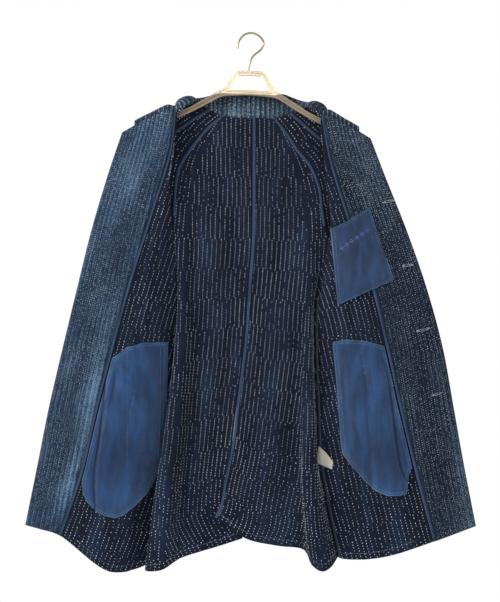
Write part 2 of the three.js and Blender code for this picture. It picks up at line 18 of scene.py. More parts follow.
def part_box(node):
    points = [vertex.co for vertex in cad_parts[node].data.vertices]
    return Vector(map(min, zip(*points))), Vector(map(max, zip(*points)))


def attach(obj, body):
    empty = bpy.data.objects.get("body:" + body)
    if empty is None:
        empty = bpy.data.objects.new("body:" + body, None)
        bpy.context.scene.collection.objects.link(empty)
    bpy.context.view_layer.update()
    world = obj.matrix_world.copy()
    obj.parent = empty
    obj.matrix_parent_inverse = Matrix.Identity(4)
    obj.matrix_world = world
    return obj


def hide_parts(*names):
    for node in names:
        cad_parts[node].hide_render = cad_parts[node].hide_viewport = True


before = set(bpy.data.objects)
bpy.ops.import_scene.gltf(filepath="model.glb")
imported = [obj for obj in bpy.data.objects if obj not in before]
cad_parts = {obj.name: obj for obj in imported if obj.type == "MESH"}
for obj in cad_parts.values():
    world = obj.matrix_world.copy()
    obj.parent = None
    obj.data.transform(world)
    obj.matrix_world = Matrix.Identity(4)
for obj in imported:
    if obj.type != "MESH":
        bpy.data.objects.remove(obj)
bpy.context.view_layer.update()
MM = 0.001
LEFT, RIGHT = -1, 1
SIDES = {LEFT: "left", RIGHT: "right"}
rng = np.random.default_rng(7)
print("nodes:", len(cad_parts))

# %% [markdown]
# ## Guide lines
# A pattern cutter thinks in lines: centre back, armhole, side seam, front edge.
# Each is a few points [outwards from the middle, away from the viewer, up], taken
# from the top down. A smooth curve through them gives the fall of the cloth.
# They could be curves drawn in Blender; a list is easier to read, compare and change.

# %% Smooth lines through guide points
def smooth(points, t):
    """Points at shares t of a centripetal Catmull-Rom curve, by point number."""
    p = np.asarray(points, float)
    last = len(p) - 1
    t = np.clip(np.asarray(t, float), 0, 1) * last
    k = np.minimum(t.astype(int), last - 1)
    w = (t - k)[:, None]
    ends = np.vstack([2 * p[0] - p[1], p, 2 * p[-1] - p[-2]])
    a, b, c, d = ends[k], ends[k + 1], ends[k + 2], ends[k + 3]

    def gap(one, two):
        return np.maximum(((two - one) ** 2).sum(1) ** 0.25, 1e-4)[:, None]

    g0, g1, g2 = gap(a, b), gap(b, c), gap(c, d)
    slope_b = ((b - a) / g0 - (c - a) / (g0 + g1) + (c - b) / g1) * g1
    slope_c = ((c - b) / g1 - (d - b) / (g1 + g2) + (d - c) / g2) * g1
    return (
        b + slope_b * w
        + (-3 * b + 3 * c - 2 * slope_b - slope_c) * w**2
        + (2 * b - 2 * c + slope_b + slope_c) * w**3
    )


FINE_STOPS = np.linspace(0, 1, 401)


def run_along(line):
    """How far along a line each of its points lies."""
    return np.concatenate([[0], np.cumsum(np.linalg.norm(np.diff(line, axis=0), axis=1))])


def spaced(points, shares):
    """Points of the curve at shares of its length."""
    run = run_along(smooth(points, FINE_STOPS))
    return smooth(points, np.interp(np.asarray(shares) * run[-1], run, FINE_STOPS))


def length_of(points):
    return np.linalg.norm(np.diff(smooth(points, FINE_STOPS), axis=0), axis=1).sum()


def unit(vectors):
    """The same directions, each 1 long."""
    return vectors / np.maximum(np.linalg.norm(vectors, axis=-1, keepdims=True), 1e-6)


def ease(x, low, high):
    """0 up to low, 1 from high on, with a soft rise between."""
    t = np.clip((x - low) / (high - low), 0, 1)
    return t * t * (3 - 2 * t)


def on_side(side, points):
    return np.asarray(points, float) * [side, 1, 1]


# %% Guide lines of the body
armhole = {
    LEFT: [
        (57, 12, -150), (82, 12, -170), (101, 12, -192), (116, 12, -211), (129, 12, -230),
        (137, 12, -246), (142, 12, -268), (144.5, 11, -300), (146, 8, -335), (147, 5, -366),
    ],
    RIGHT: [
        (46, 12, -155), (67, 12, -181), (88.6, 12, -213.5), (110.6, 12, -240),
        (121, 12, -262), (129, 12, -286), (132, 11, -315), (137, 8, -350), (145, 5, -385),
    ],
}
side_seam = {
    LEFT: [
        (147, 5, -366), (134, 15, -470), (132, 18, -570), (137, 18, -675), (146, 18, -780),
        (162, 16, -880), (184, 13, -978),
    ],
    RIGHT: [
        (145, 5, -385), (130, 11, -430), (118, 16, -485), (115, 17, -600), (118, 17, -700),
        (121, 16, -790), (134, 14, -855), (160, 6, -968),
    ],
}
# %% Guide lines of the fronts
front_lines = {
    LEFT: [
        [(238, -12, -184), (262, -12, -255), (294, -12, -362), (321, -11, -471),
         (347.5, -10, -580), (373, -9, -690), (395, -8, -800), (417, -7, -907)],
        [(192, -14, -159), (206, -14, -237), (241, -14, -350), (273, -14, -463),
         (302, -13, -576), (330, -12, -690), (355, -11, -804), (386, -10, -915)],
        [(141.5, -14, -142), (151, -14, -218), (188, -15, -338), (224.7, -16, -455),
         (256.6, -16, -571.6), (287, -16, -689), (315, -16, -808), (355, -14, -924)],
        [(151.5, -12, -256), (165, -14, -372), (180, -16, -485), (200, -17, -600),
         (222, -18, -730), (243, -19, -860), (262, -17, -991)],
        [(150, -5, -312), (147, 3, -420), (149, 8, -530), (156, 8, -640),
         (169, 7, -750), (191, 4, -865), (213, 0, -989)],
    ],
    RIGHT: [
        [(219, -12, -195), (245.5, -12, -264), (286.8, -12, -368), (323, -11, -473),
         (352, -10, -580), (372, -9, -689), (392, -8, -800), (413.5, -7, -909)],
        [(177, -14, -170), (196, -14, -247), (234, -14, -356), (273, -14, -466),
         (302, -13, -577), (325, -12, -691), (349, -11, -805), (377, -10, -922)],
        [(132, -14, -150), (146, -14, -229), (181.6, -15, -345), (223, -16, -459),
         (252.2, -16, -575), (278.6, -16, -693.6), (306.5, -16, -810), (340, -14, -935)],
        [(138, -10, -262), (158, -13, -380), (178, -15, -490), (196, -16, -600),
         (213, -17, -715), (228, -16, -840), (240, -14, -966)],
        [(147, -2, -345), (143, 2, -430), (136, 7, -535), (139, 8, -640),
         (145, 7, -750), (154, 4, -860), (171, -1, -971)],
    ],
}
FRONT_CELLS = [2, 2, 3, 4, 4]

# %% Guide lines of the back
back_lines = {
    LEFT: [
        [(-1.7, 12, -153), (-1.7, 13, -326), (0, 14, -397), (5.4, 14, -461), (13, 14, -570),
         (25.5, 13, -670), (36, 12, -759), (45.5, 9, -831), (47, 9, -873), (16, 7, -934)],
        [(20, 12, -152.6), (25, 13, -260), (34, 14, -370), (42, 14, -480), (48, 13, -590),
         (55, 11, -690), (66, 10, -780), (78, 8, -858), (60, 5, -948)],
        [(40, 12, -151.5), (60, 12, -250), (70, 12, -360), (75, 11, -480), (78, 9, -590),
         (82, 6, -690), (92, 4, -780), (102, 2, -858), (95, -4, -957)],
        [(48, 12, -151), (84, 12, -240), (102, 10, -360), (106, 6, -480), (108, 2, -590),
         (110, -2, -690), (118, -4, -780), (126, -6, -860), (132, -12, -968)],
        [(52, 12, -150.6), (100, 11, -236), (120, 6, -360), (124, -4, -480),
         (128, -13, -590), (135, -21, -690), (145, -28, -780), (155, -34, -862),
         (165, -36, -985)],
        [(54.5, 12, -150.3), (112, 12, -235), (136, 6, -360), (134, -2, -480),
         (142, -7, -590), (153, -13, -690), (166, -17, -780), (180, -22, -868),
         (194, -25, -988)],
    ],
    RIGHT: [
        [(1.7, 12, -153), (1.7, 13, -326), (0, 14, -397), (-5.4, 14, -461), (-13, 14, -570),
         (-25.5, 13, -670), (-36, 12, -759), (-50.5, 8.5, -831), (-57.5, 3, -870),
         (-69, -2, -893)],
        [(16, 12, -153), (28, 13, -300), (30, 13, -410), (26, 13, -520), (20, 12, -630),
         (10, 10, -740), (-2, 5, -830), (-11, -2, -933)],
        [(31, 12, -154), (58, 13, -300), (66, 12, -410), (66, 11, -520), (62, 10, -630),
         (56, 7, -740), (50, 3, -830), (46, -3, -946)],
        [(39, 12, -154.5), (82, 12, -290), (94, 8, -410), (92, 8, -510), (88, 7, -620),
         (88, 5, -730), (92, 4, -845), (98, 2, -955)],
        [(42, 12, -154.8), (96, 12, -284), (108, 5, -410), (104, 2, -510), (100, -3, -620),
         (99, -8, -730), (97, -16, -848), (111, -24, -978)],
        [(44, 12, -154.9), (108, 12, -280), (113, 1, -410), (107, -2, -510),
         (108, -8, -620), (110, -16, -730), (113, -26, -855), (128, -34, -988)],
        [(45, 12, -155), (116, 12, -278), (118, 0, -410), (111, 3, -510), (113, 2, -620),
         (118, -4, -730), (125, -14, -860), (144, -20, -984)],
    ],
}
BACK_CELLS = {LEFT: [2, 2, 2, 2, 2, 2], RIGHT: [2, 2, 2, 1, 1, 1, 2]}
print("lines of each front:", len(FRONT_CELLS), "and of each back:", len(BACK_CELLS[LEFT]),
      len(BACK_CELLS[RIGHT]))

# %% Guide lines of the sleeves
crest = {
    LEFT: [
        (104, 0, -124.5), (120, 0, -131.5), (150, 0, -143.5), (187, 0, -155),
        (205, 0, -163), (226, 2, -182), (240, 6, -215), (252, 8, -260), (270, 10, -320),
        (286, 12, -390), (300, 14, -480), (305, 15, -600), (304, 16, -700), (300, 16, -785),
    ],
    RIGHT: [
        (104, 0, -134), (120, 0, -142.9), (150, 0, -157.6), (187, 0, -172.4),
        (200, 0, -182), (212, 2, -205), (226, 6, -245), (244, 8, -300), (264, 10, -360),
        (285, 12, -430), (300, 14, -500), (305, 15, -600), (304, 16, -700), (300, 16, -785),
    ],
}
front_armhole = {
    LEFT: [
        (141, -11, -143), (146, -10.8, -178), (149, -10.6, -202), (152.5, -9.5, -218),
        (155, -7.5, -250), (154.5, -4, -290), (153, 0.5, -330), (151.5, 4, -366),
    ],
    RIGHT: [
        (132.5, -11, -151), (135, -10.8, -170), (138, -10.6, -202), (142, -9.5, -240),
        (144.5, -7, -280), (146.5, -2.5, -320), (148.5, 1.5, -350), (149.5, 4, -385),
    ],
}
underarm = {
    LEFT: [(147, 5, -366), (152, 15, -420), (160, 17, -500), (167, 17, -600),
           (173, 17, -700), (178, 17, -785)],
    RIGHT: [(145, 5, -385), (150, 15, -435), (158, 17, -505), (166, 17, -600),
            (173, 17, -700), (178, 17, -785)],
}
CREST_SPLIT = {LEFT: 0.33, RIGHT: 0.32}
print("sleeve lengths, mm:", [round(length_of(crest[side])) for side in SIDES])

# %% [markdown]
# ## Cloth surfaces
# A grid of points between guide lines is the middle of the cloth. Each grid also keeps
# how far each point lies across and down the cloth, which later places the stitches.
# Thin vertical creases are added as troughs along the surface's own direction.
# A simulation could drape the flat cuts, but here the fall is known from the frame and the
# seams have to stay on it, so the surface is worked out.

# %% Grids and their normals
ARMHOLE_CELLS, BODY_CELLS, SLEEVE_CELLS = 8, 21, 12
FINE = 4
ACROSS = 3
CREASE_FADE = 60


def even(cells):
    """Shares from 0 to 1, with FINE rows to a cell."""
    return np.linspace(0, 1, cells * FINE + 1)


def shares_in_two(split, first, second):
    """Shares for two stretches of cells that meet at the share split."""
    upper = np.arange(first * FINE) / (first * FINE) * split
    return np.concatenate([upper, split + (1 - split) * even(second)])


def loft(lines, cells):
    """A grid [row, column] across guide lines that have the same number of points."""
    stops = []
    for k, count in enumerate(cells):
        stops += [(k + i / (count * ACROSS)) / len(cells) for i in range(count * ACROSS)]
    stops.append(1.0)
    lines = np.stack(lines)
    return np.stack([smooth(lines[:, j], stops) for j in range(lines.shape[1])])


def normals_of(grid, turn):
    return unit(np.cross(np.gradient(grid, axis=1), np.gradient(grid, axis=0)) * turn)


# %% Surfaces that know their own measure
def surface(grid, turn, creases=()):
    """A dict of points, normals towards the inside, and distances across and down.

    A crease is its upper and lower end as (down, across), its width and its depth.
    """
    normal = normals_of(grid, turn)
    across = np.cumsum(np.linalg.norm(np.diff(grid, axis=1), axis=2), axis=1)
    across = np.hstack([np.zeros((len(grid), 1)), across])
    fall = np.linalg.norm(np.diff(grid, axis=0), axis=2).mean(1)
    down = np.concatenate([[0], np.cumsum(fall)])
    for (top, s_top), (end, s_end), width, depth in creases:
        centre = np.interp(down, [top, end], [s_top, s_end])[:, None]
        fade = np.clip((down - top) / CREASE_FADE, 0, 1) * np.clip((end - down) / CREASE_FADE, 0, 1)
        trough = depth * fade[:, None] * np.exp(-(((across - centre) / width) ** 2))
        grid = grid + normal * trough[..., None]
    if len(creases):
        normal = normals_of(grid, turn)
    return {"p": grid, "n": normal, "across": across, "down": down}


def cut(surf, rows=slice(None), columns=slice(None)):
    """A rectangle of a surface, measured from its own first column and row."""
    across, down = surf["across"][rows, columns], surf["down"][rows]
    return {
        "p": surf["p"][rows, columns], "n": surf["n"][rows, columns],
        "across": across - across[:, :1], "down": down - down[0],
    }


# %% [markdown]
# ## The body's panels
# A front or a back is one cut of cloth that hangs from the shoulder and folds in at its
# side. Creases could be sculpted with a brush. Given as two ends, a width and a depth,
# they lie in the same place on each run and change with one number.

# %% The body's panels, with their creases
front_creases = {
    LEFT: [((60, 30), (700, 34), 8, -1.6), ((120, 60), (560, 62), 8, 1.2),
           ((300, 148), (720, 150), 9, 2.4), ((260, 182), (720, 176), 7, -2.8),
           ((150, 118), (640, 120), 7, -2.0), ((420, 200), (800, 214), 7, 2.6)],
    RIGHT: [((50, 26), (640, 30), 8, 1.5), ((140, 58), (600, 60), 8, -1.4),
            ((280, 140), (720, 146), 8, 2.5), ((240, 176), (700, 180), 7, -2.6),
            ((90, 108), (520, 112), 7, -2.0), ((440, 206), (780, 220), 7, 2.4)],
}
back_creases = {
    LEFT: [((60, 26), (640, 30), 10, -2.4), ((200, 58), (800, 62), 9, 3.0),
           ((330, 84), (820, 88), 7, -3.4), ((120, 44), (420, 46), 7, 2.0)],
    RIGHT: [((90, 30), (560, 44), 10, 2.4), ((240, 58), (780, 74), 9, -3.2),
            ((300, 86), (790, 104), 7, 3.2), ((100, 18), (460, 22), 7, -2.0)],
}
SEAM_TRIM = {"front": 0.06, "back": 0.03}


def panels_of(side):
    """The front and back of one side, with the armhole line that the sleeve starts from."""
    seam = spaced(on_side(side, side_seam[side]), even(BODY_CELLS))
    hole = spaced(on_side(side, armhole[side]), even(ARMHOLE_CELLS))
    fronts = [spaced(on_side(side, line), even(BODY_CELLS)) for line in front_lines[side]]
    front = loft(fronts + [seam], FRONT_CELLS)
    split = length_of(armhole[side]) / (length_of(armhole[side]) + length_of(side_seam[side]))
    shares = shares_in_two(split, ARMHOLE_CELLS, BODY_CELLS)
    backs = [spaced(on_side(side, line), shares) for line in back_lines[side]]
    back = loft(backs + [np.vstack([hole[:-1], seam])], BACK_CELLS[side])
    front[:, -1] += (front[:, -2] - front[:, -1]) * SEAM_TRIM["front"]
    back[:, -1] += (back[:, -2] - back[:, -1]) * SEAM_TRIM["back"]
    return {
        "front": surface(front, side, front_creases[side]),
        "back": surface(back, -side, back_creases[side]),
        "hole": hole,
    }


cloth = {side: panels_of(side) for side in SIDES}
for side, name in SIDES.items():
    print(name, "front rows and columns:", cloth[side]["front"]["p"].shape[:2])

# %% [markdown]
# ## Sleeves
# A raglan sleeve is a tube that starts at the slanting armhole seams. It is built as
# rings: from the back's seam over the crest on the hanger's arm to the front's seam.
# Above the underarm the ring is open towards the neck; below it, it closes to a tube.
# A tube swept along a curve would be simpler, but its seams wouldn't meet the body's.

# %% Sleeve rings
SLEEVE_BULGE = 19
RING_SHARES = [0, 0.02, 0.05, 0.12, 0.2, 0.3, 0.4, 0.5, 0.6, 0.7, 0.79, 0.86, 0.92, 0.965, 0.99]
OVERARM = 7
HOLLOW_FROM, HOLLOW_FULL = -4, 2
UNDERARM_GAP = 2.7
sleeve_creases = [((260, 60), (560, 80), 9, 1.4), ((300, 150), (600, 120), 10, -1.5),
                  ((200, 30), (460, 44), 7, -1.2), ((330, 230), (640, 214), 9, 1.4)]


def sleeve_of(side):
    """The sleeve, flat at the shoulder and hollow from some cells above the underarm on."""
    shares = shares_in_two(CREST_SPLIT[side], ARMHOLE_CELLS, SLEEVE_CELLS)
    top = spaced(on_side(side, crest[side]), shares)
    front = spaced(on_side(side, front_armhole[side]), even(ARMHOLE_CELLS))
    under = spaced(on_side(side, underarm[side]), even(SLEEVE_CELLS))
    back_edge = np.vstack([cloth[side]["hole"][:-1], under])
    front_edge = np.vstack([front, under[1:] + [0, -UNDERARM_GAP, 0]])
    opened = ease(np.arange(len(top)) / FINE - ARMHOLE_CELLS, HOLLOW_FROM, HOLLOW_FULL)
    columns = []
    for edge, sign, stops in ((back_edge, 1, RING_SHARES), (front_edge, -1, RING_SHARES[::-1])):
        for share in stops:
            blunt = math.sqrt(1 - share**4)
            full = blunt * math.sqrt(1 - (1 - share) ** 4)
            point = edge + (top - edge) * share
            flat = top[:, 1] + (edge[:, 1] - top[:, 1]) * blunt
            hollow = point[:, 1] + sign * SLEEVE_BULGE * full
            point[:, 1] = flat + (hollow - flat) * opened
            columns.append(point)
        if sign == 1:
            columns.append(top.copy())
    return surface(np.stack(columns, axis=1), -side, sleeve_creases)


for side in SIDES:
    cloth[side]["sleeve"] = sleeve_of(side)

# %% [markdown]
# ## Finishes
# The cloth is two layers of dark indigo cotton held by undyed running stitches. Its
# inside stays dark; the right side is rubbed and faded to light blue. Each finish is a
# node tree of noise, waves and colour ramps, in the cloth's own measure, with no picture.

# %% Small helpers for node trees
def new_finish(name, roughness=0.9, sheen=0.0):
    finish = bpy.data.materials.new(name)
    finish.use_nodes = True
    shader = finish.node_tree.nodes["Principled BSDF"]
    shader.inputs["Roughness"].default_value = roughness
    shader.inputs["Specular IOR Level"].default_value = 0.12
    shader.inputs["Sheen Weight"].default_value = sheen
    shader.inputs["Sheen Roughness"].default_value = 0.6
    return finish, finish.node_tree, shader


def node(tree, kind, **values):
    made = tree.nodes.new("ShaderNode" + kind)
    for key, value in values.items():
        if key in made.inputs:
            made.inputs[key].default_value = value
        else:
            setattr(made, key, value)
    return made


def link(tree, out, into):
    tree.links.new(out, into)


# %% Noise, ramps and sums
def noise(tree, where, scale, detail=3.0, rough=0.55):
    made = node(tree, "TexNoise", Scale=scale, Detail=detail, Roughness=rough)
    link(tree, where, made.inputs["Vector"])
    return made.outputs["Fac"]


def ramp(tree, value, stops):
    made = node(tree, "ValToRGB")
    colours = made.color_ramp.elements
    while len(colours) < len(stops):
        colours.new(0.5)
    for element, (place, colour) in zip(colours, stops):
        element.position = place
        element.color = (*colour, 1)
    link(tree, value, made.inputs["Fac"])
    return made.outputs["Color"]


def tinted(tree, one, two):
    """One colour multiplied by another."""
    made = node(tree, "Mix", data_type="RGBA", blend_type="MULTIPLY")
    made.inputs[0].default_value = 1.0
    link(tree, one, made.inputs[6])
    link(tree, two, made.inputs[7])
    return made.outputs[2]


def maths(tree, operation, *values):
    made = node(tree, "Math", operation=operation)
    for socket, value in zip(made.inputs, values):
        if hasattr(value, "links"):
            link(tree, value, socket)
        else:
            socket.default_value = value
    return made.outputs[0]


def add(tree, one, two):
    return maths(tree, "ADD", one, two)


def times(tree, one, two):
    return maths(tree, "MULTIPLY", one, two)


def bump(tree, shader, height, strength, distance):
    made = node(tree, "Bump", Strength=strength, Distance=distance)
    link(tree, height, made.inputs["Height"])
    link(tree, made.outputs["Normal"], shader.inputs["Normal"])


# %% Measures and patterns
def cloth_measure(tree, across=1.0, down=1.0):
    """The cloth's own coordinates, in metres times the two factors."""
    uv = node(tree, "UVMap", uv_map="cut")
    scaled = node(tree, "Mapping")
    scaled.inputs["Scale"].default_value = (across, down, 1)
    link(tree, uv.outputs["UV"], scaled.inputs["Vector"])
    return scaled.outputs["Vector"]


def cloth_noise(tree, across, down, detail, rough=0.55):
    """Noise with so many blots to a metre across and down the cloth."""
    return noise(tree, cloth_measure(tree, across, down), 1.0, detail, rough)


def own_space(tree):
    return node(tree, "TexCoord").outputs["Object"]


def speckled(tree, shader, where, scale, shades, stops=(0.3, 0.7), detail=3.0):
    """Colours a shader between two shades by a noise, and returns the noise."""
    grain = noise(tree, where, scale, detail)
    link(tree, ramp(tree, grain, list(zip(stops, shades))), shader.inputs["Base Color"])
    return grain


def pitch(length):
    """The wave scale that gives one band every `length` millimetres."""
    return 2 * math.pi / 20 / (length * MM)


def bands(tree, length, distortion, direction):
    """Waves across the cloth, one every `length` millimetres."""
    wave = node(tree, "TexWave", Scale=pitch(length), Distortion=distortion)
    wave.wave_type, wave.bands_direction = "BANDS", direction
    link(tree, cloth_measure(tree), wave.inputs["Vector"])
    return wave.outputs["Fac"]


def ridges_of(tree, gap):
    """How many rows across the cloth, gap millimetres apart, and how many metres down."""
    parts = node(tree, "SeparateXYZ")
    link(tree, cloth_measure(tree, 1 / (gap * MM), 1), parts.inputs[0])
    return parts.outputs[0], parts.outputs[1]


# %% [markdown]
# ### The inside
# Inside, the cloth was hardly rubbed: deep indigo, with slubs in the yarn. A picture
# could hold that. Noise stretched along the cloth gives slubs of any size instead, and
# two crossed waves give the weave.

# %% Dark inside of the stitched cloth
ROW_GAP = 8.6
THREAD_PITCH = 1.1
dark_cloth, tree, shader = new_finish("indigo_inside", 0.95, 0.03)
tone = ramp(tree, cloth_noise(tree, 24, 6, 4),
            [(0.3, (0.0040, 0.0065, 0.014)), (0.52, (0.008, 0.013, 0.029)),
             (0.72, (0.015, 0.029, 0.060))])
slub = ramp(tree, cloth_noise(tree, 1500, 160, 2),
            [(0.35, (0.55, 0.6, 0.7)), (0.7, (1.35, 1.3, 1.25))])
link(tree, tinted(tree, tone, slub), shader.inputs["Base Color"])
row_wave = maths(tree, "PINGPONG", ridges_of(tree, ROW_GAP)[0], 0.5)
weave = times(tree, bands(tree, THREAD_PITCH, 1.2, "X"), bands(tree, THREAD_PITCH, 1.2, "Y"))
bump(tree, shader, add(tree, row_wave, times(tree, weave, 0.35)), 0.6, 0.0012)

# %% [markdown]
# ### The right side
# Rubbing lightens the ridges between rows of stitches first; the valleys stay dark. The
# wear could be painted. Here ridge, noise and patches make one level, and one colour
# ramp turns it into dye, so they always agree.

# %% Worn right side of the stitched cloth
WORN_COLUMN = 9.0


def near(tree, value, centre, reach):
    """1 where the value is at the centre, 0 where it is more than reach away."""
    off = maths(tree, "ABSOLUTE", maths(tree, "SUBTRACT", value, centre))
    inside = maths(tree, "SUBTRACT", 1.0, maths(tree, "DIVIDE", off, reach))
    return maths(tree, "MAXIMUM", inside, 0.0)


def worn_finish(name, dark, mid, light, rubbed_share=0.8, patches=()):
    """Ridges every 9 mm hold the rubbed, lighter dye; the valleys between stay dark.

    A patch of more wear is its ridge number and its fall in metres, the reach of both,
    and how strong it is. Its edge is broken up, so that no patch looks sprayed on.
    """
    finish, tree, shader = new_finish(name, 0.9, 0.04)
    number, fall = ridges_of(tree, WORN_COLUMN)
    column = add(tree, number, times(tree, cloth_noise(tree, 12, 9, 2), 0.5))
    ridge = maths(tree, "PINGPONG", column, 0.5)
    rubbed = cloth_noise(tree, 17, 6.5, 5, 0.6)
    grain = cloth_noise(tree, 560, 430, 3, 0.7)
    level = add(tree, times(tree, ridge, 0.45), times(tree, rubbed, rubbed_share))
    level = times(tree, add(tree, level, times(tree, grain, 1.15)), 0.67)
    broken = times(tree, cloth_noise(tree, 90, 60, 4, 0.7), grain)
    for at_ridge, at_fall, ridges, length, strength in patches:
        spot = times(tree, near(tree, number, at_ridge, ridges), near(tree, fall, at_fall, length))
        level = add(tree, level, times(tree, times(tree, spot, broken), strength))
    colour = ramp(tree, level, [(0.55, dark), (0.80, mid), (1.0, light)])
    link(tree, colour, shader.inputs["Base Color"])
    bump(tree, shader, add(tree, ridge, times(tree, grain, 0.6)), 0.9, 0.0014)
    return finish


DARK_WEAR = [(0.5, 0.70, 5, 0.36, 0.75), (3, 0.03, 9, 0.18, 0.70), (5, 0.80, 8, 0.15, 0.45)]
BLUE_WEAR = [(8.5, 0.50, 3.4, 0.13, 0.45), (7.5, 0.64, 3.2, 0.09, 0.5), (4, 0.82, 7, 0.09, 0.6),
             (5, 0.06, 6, 0.14, 0.5)]
worn_cloth = worn_finish("indigo_worn", (0.004, 0.007, 0.016), (0.011, 0.019, 0.038),
                         (0.085, 0.130, 0.195))
# The two facing finishes below are one worn cloth in two colours. The blue one is its own bluer
# fade plus painted light from the left. The dark one is its own fade plus painted shade.
worn_dark_and_shaded = worn_finish("indigo_worn_dark", (0.004, 0.007, 0.016), (0.010, 0.018, 0.037),
                        (0.095, 0.145, 0.210), 0.74, DARK_WEAR)
worn_blue_and_lit = worn_finish("indigo_worn_blue", (0.005, 0.011, 0.027), (0.016, 0.037, 0.077),
                        (0.125, 0.235, 0.355), 0.86, BLUE_WEAR)

# %% [markdown]
# ### Twill, tape and thread
# The bags are blue twill, whose diagonal ribs show close up, and the tapes are a finer
# one. They differ in colour and rib only, so one function makes them all. A stitch is
# too small for a map of its own: thread takes its noise from the place in the mesh.

# %% Twill, tape, thread and label finishes
def twill_finish(name, shade, light, line=1.3, low=0.66, high=1.2):
    """Diagonal ribs every `line` millimetres, and wrinkles coloured from low in their valleys to
    high on their tops: rubbed wear on the tops, painted shade in the valleys.
    """
    finish, tree, shader = new_finish(name, 0.85, 0.2)
    rib = bands(tree, line, 0.6, "DIAGONAL")
    wrinkle = cloth_noise(tree, 60, 16, 4, 0.6)
    tone = ramp(tree, cloth_noise(tree, 9, 6, 4), [(0.36, shade), (0.66, light)])
    # Wrinkle tone: lighter where wrinkles rise and are rubbed, darker in their valleys as painted
    # shade.
    rub_and_valley_shade = ramp(tree, wrinkle, [(0.36, (low,) * 3), (0.62, (high,) * 3)])
    rib_tone = ramp(tree, rib, [(0.0, (0.82, 0.84, 0.88)), (1.0, (1.1, 1.08, 1.05))])
    colour = tinted(tree, tinted(tree, tone, rub_and_valley_shade), rib_tone)
    link(tree, colour, shader.inputs["Base Color"])
    bump(tree, shader, add(tree, times(tree, rib, 0.15), wrinkle), 0.9, 0.005)
    return finish


pocket_twill = twill_finish("pocket_twill", (0.009, 0.042, 0.125), (0.020, 0.078, 0.205))
twill_edge = twill_finish("twill_edge", (0.030, 0.085, 0.185), (0.085, 0.175, 0.320))
twill_strip = twill_finish("twill_strip", (0.014, 0.056, 0.155), (0.032, 0.104, 0.250))
# Painted shade: the bottom of a pocket's deep fold is coloured about three times darker than the
# bag, with some unfaded dye.
twill_fold_shade = twill_finish("twill_fold_shade", (0.003, 0.011, 0.036), (0.006, 0.022, 0.064))
chest_twill = twill_finish("chest_twill", (0.010, 0.032, 0.092), (0.022, 0.058, 0.142))
seam_tape = twill_finish("seam_tape", (0.009, 0.032, 0.088), (0.030, 0.078, 0.172), 0.9)
# Painted shade: the side binding lies in the fold by the side seam, so it takes a darker copy of
# the seam tape.
side_tape_shaded = twill_finish("side_tape_shaded", (0.005, 0.013, 0.034), (0.012, 0.030, 0.070), 0.9)
label_tape = twill_finish("label_tape", (0.86, 0.79, 0.64), (0.92, 0.88, 0.76), 0.7, 0.93, 1.0)


def thread_finish(name, dull, bright):
    finish, tree, shader = new_finish(name, 0.8, 0.1)
    where = own_space(tree)
    both = add(tree, times(tree, noise(tree, where, 260.0, 1), 0.65),
               times(tree, noise(tree, where, 11.0, 2), 0.35))
    link(tree, ramp(tree, both, [(0.36, dull), (0.62, bright)]), shader.inputs["Base Color"])
    twist = node(tree, "TexWave", Scale=260.0, Distortion=1.0)
    link(tree, where, twist.inputs["Vector"])
    bump(tree, shader, twist.outputs["Fac"], 0.3, 0.0003)
    return finish


undyed_thread = thread_finish("undyed_thread", (0.15, 0.20, 0.30), (0.82, 0.88, 0.95))
faded_thread = thread_finish("faded_thread", (0.040, 0.062, 0.10), (0.48, 0.56, 0.62))
blue_thread = thread_finish("blue_thread", (0.07, 0.14, 0.26), (0.22, 0.35, 0.52))
print("finishes:", len(bpy.data.materials))

# %% [markdown]
# ## From surfaces to cloth
# Each panel becomes a thin closed wall: the inner face takes the dark finish, the outer
# face the worn one. A UV map named "cut" holds metres across and down the cloth, so
# every pattern keeps its real scale.
# A Solidify modifier would thicken a surface too, but a wall built face by face knows
# which faces are its inside, outside and rim.

# %% Building walls
THICK = 1.7


def mesh_piece(name, points, faces, uv, finishes, kinds=None):
    """A smooth-shaded piece from points in millimetres; kinds are its finish numbers."""
    data = bpy.data.meshes.new(name)
    data.from_pydata((np.asarray(points) * MM).tolist(), [], faces)
    for finish in finishes:
        data.materials.append(finish)
    layer = data.uv_layers.new(name="cut")
    loops = np.empty(len(data.loops), int)
    data.loops.foreach_get("vertex_index", loops)
    layer.data.foreach_set("uv", (np.asarray(uv, float)[loops] * MM).ravel())
    if kinds is not None:
        data.polygons.foreach_set("material_index", np.asarray(kinds, np.int32))
    data.polygons.foreach_set("use_smooth", np.ones(len(data.polygons), bool))
    data.update()
    piece = bpy.data.objects.new(name, data)
    bpy.context.collection.objects.link(piece)
    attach(piece, "root")
    return piece


# %% Closed walls
def turned_out(points, faces):
    """Faces of a closed mesh, turned so that they point outwards."""
    p = np.asarray(points)
    quads = np.array([face for face in faces if len(face) == 4])
    centre = p[quads].mean(1)
    area = np.cross(p[quads[:, 2]] - p[quads[:, 0]], p[quads[:, 3]] - p[quads[:, 1]])
    if (centre * area).sum() < 0:
        return [face[::-1] for face in faces]
    return faces


def quads_of(rows, columns):
    """Point numbers of a grid, and its faces as four numbers each."""
    at = np.arange(rows * columns).reshape(rows, columns)
    corners = (at[:-1, :-1], at[:-1, 1:], at[1:, 1:], at[1:, :-1])
    return at, np.stack([corner.ravel() for corner in corners], 1)


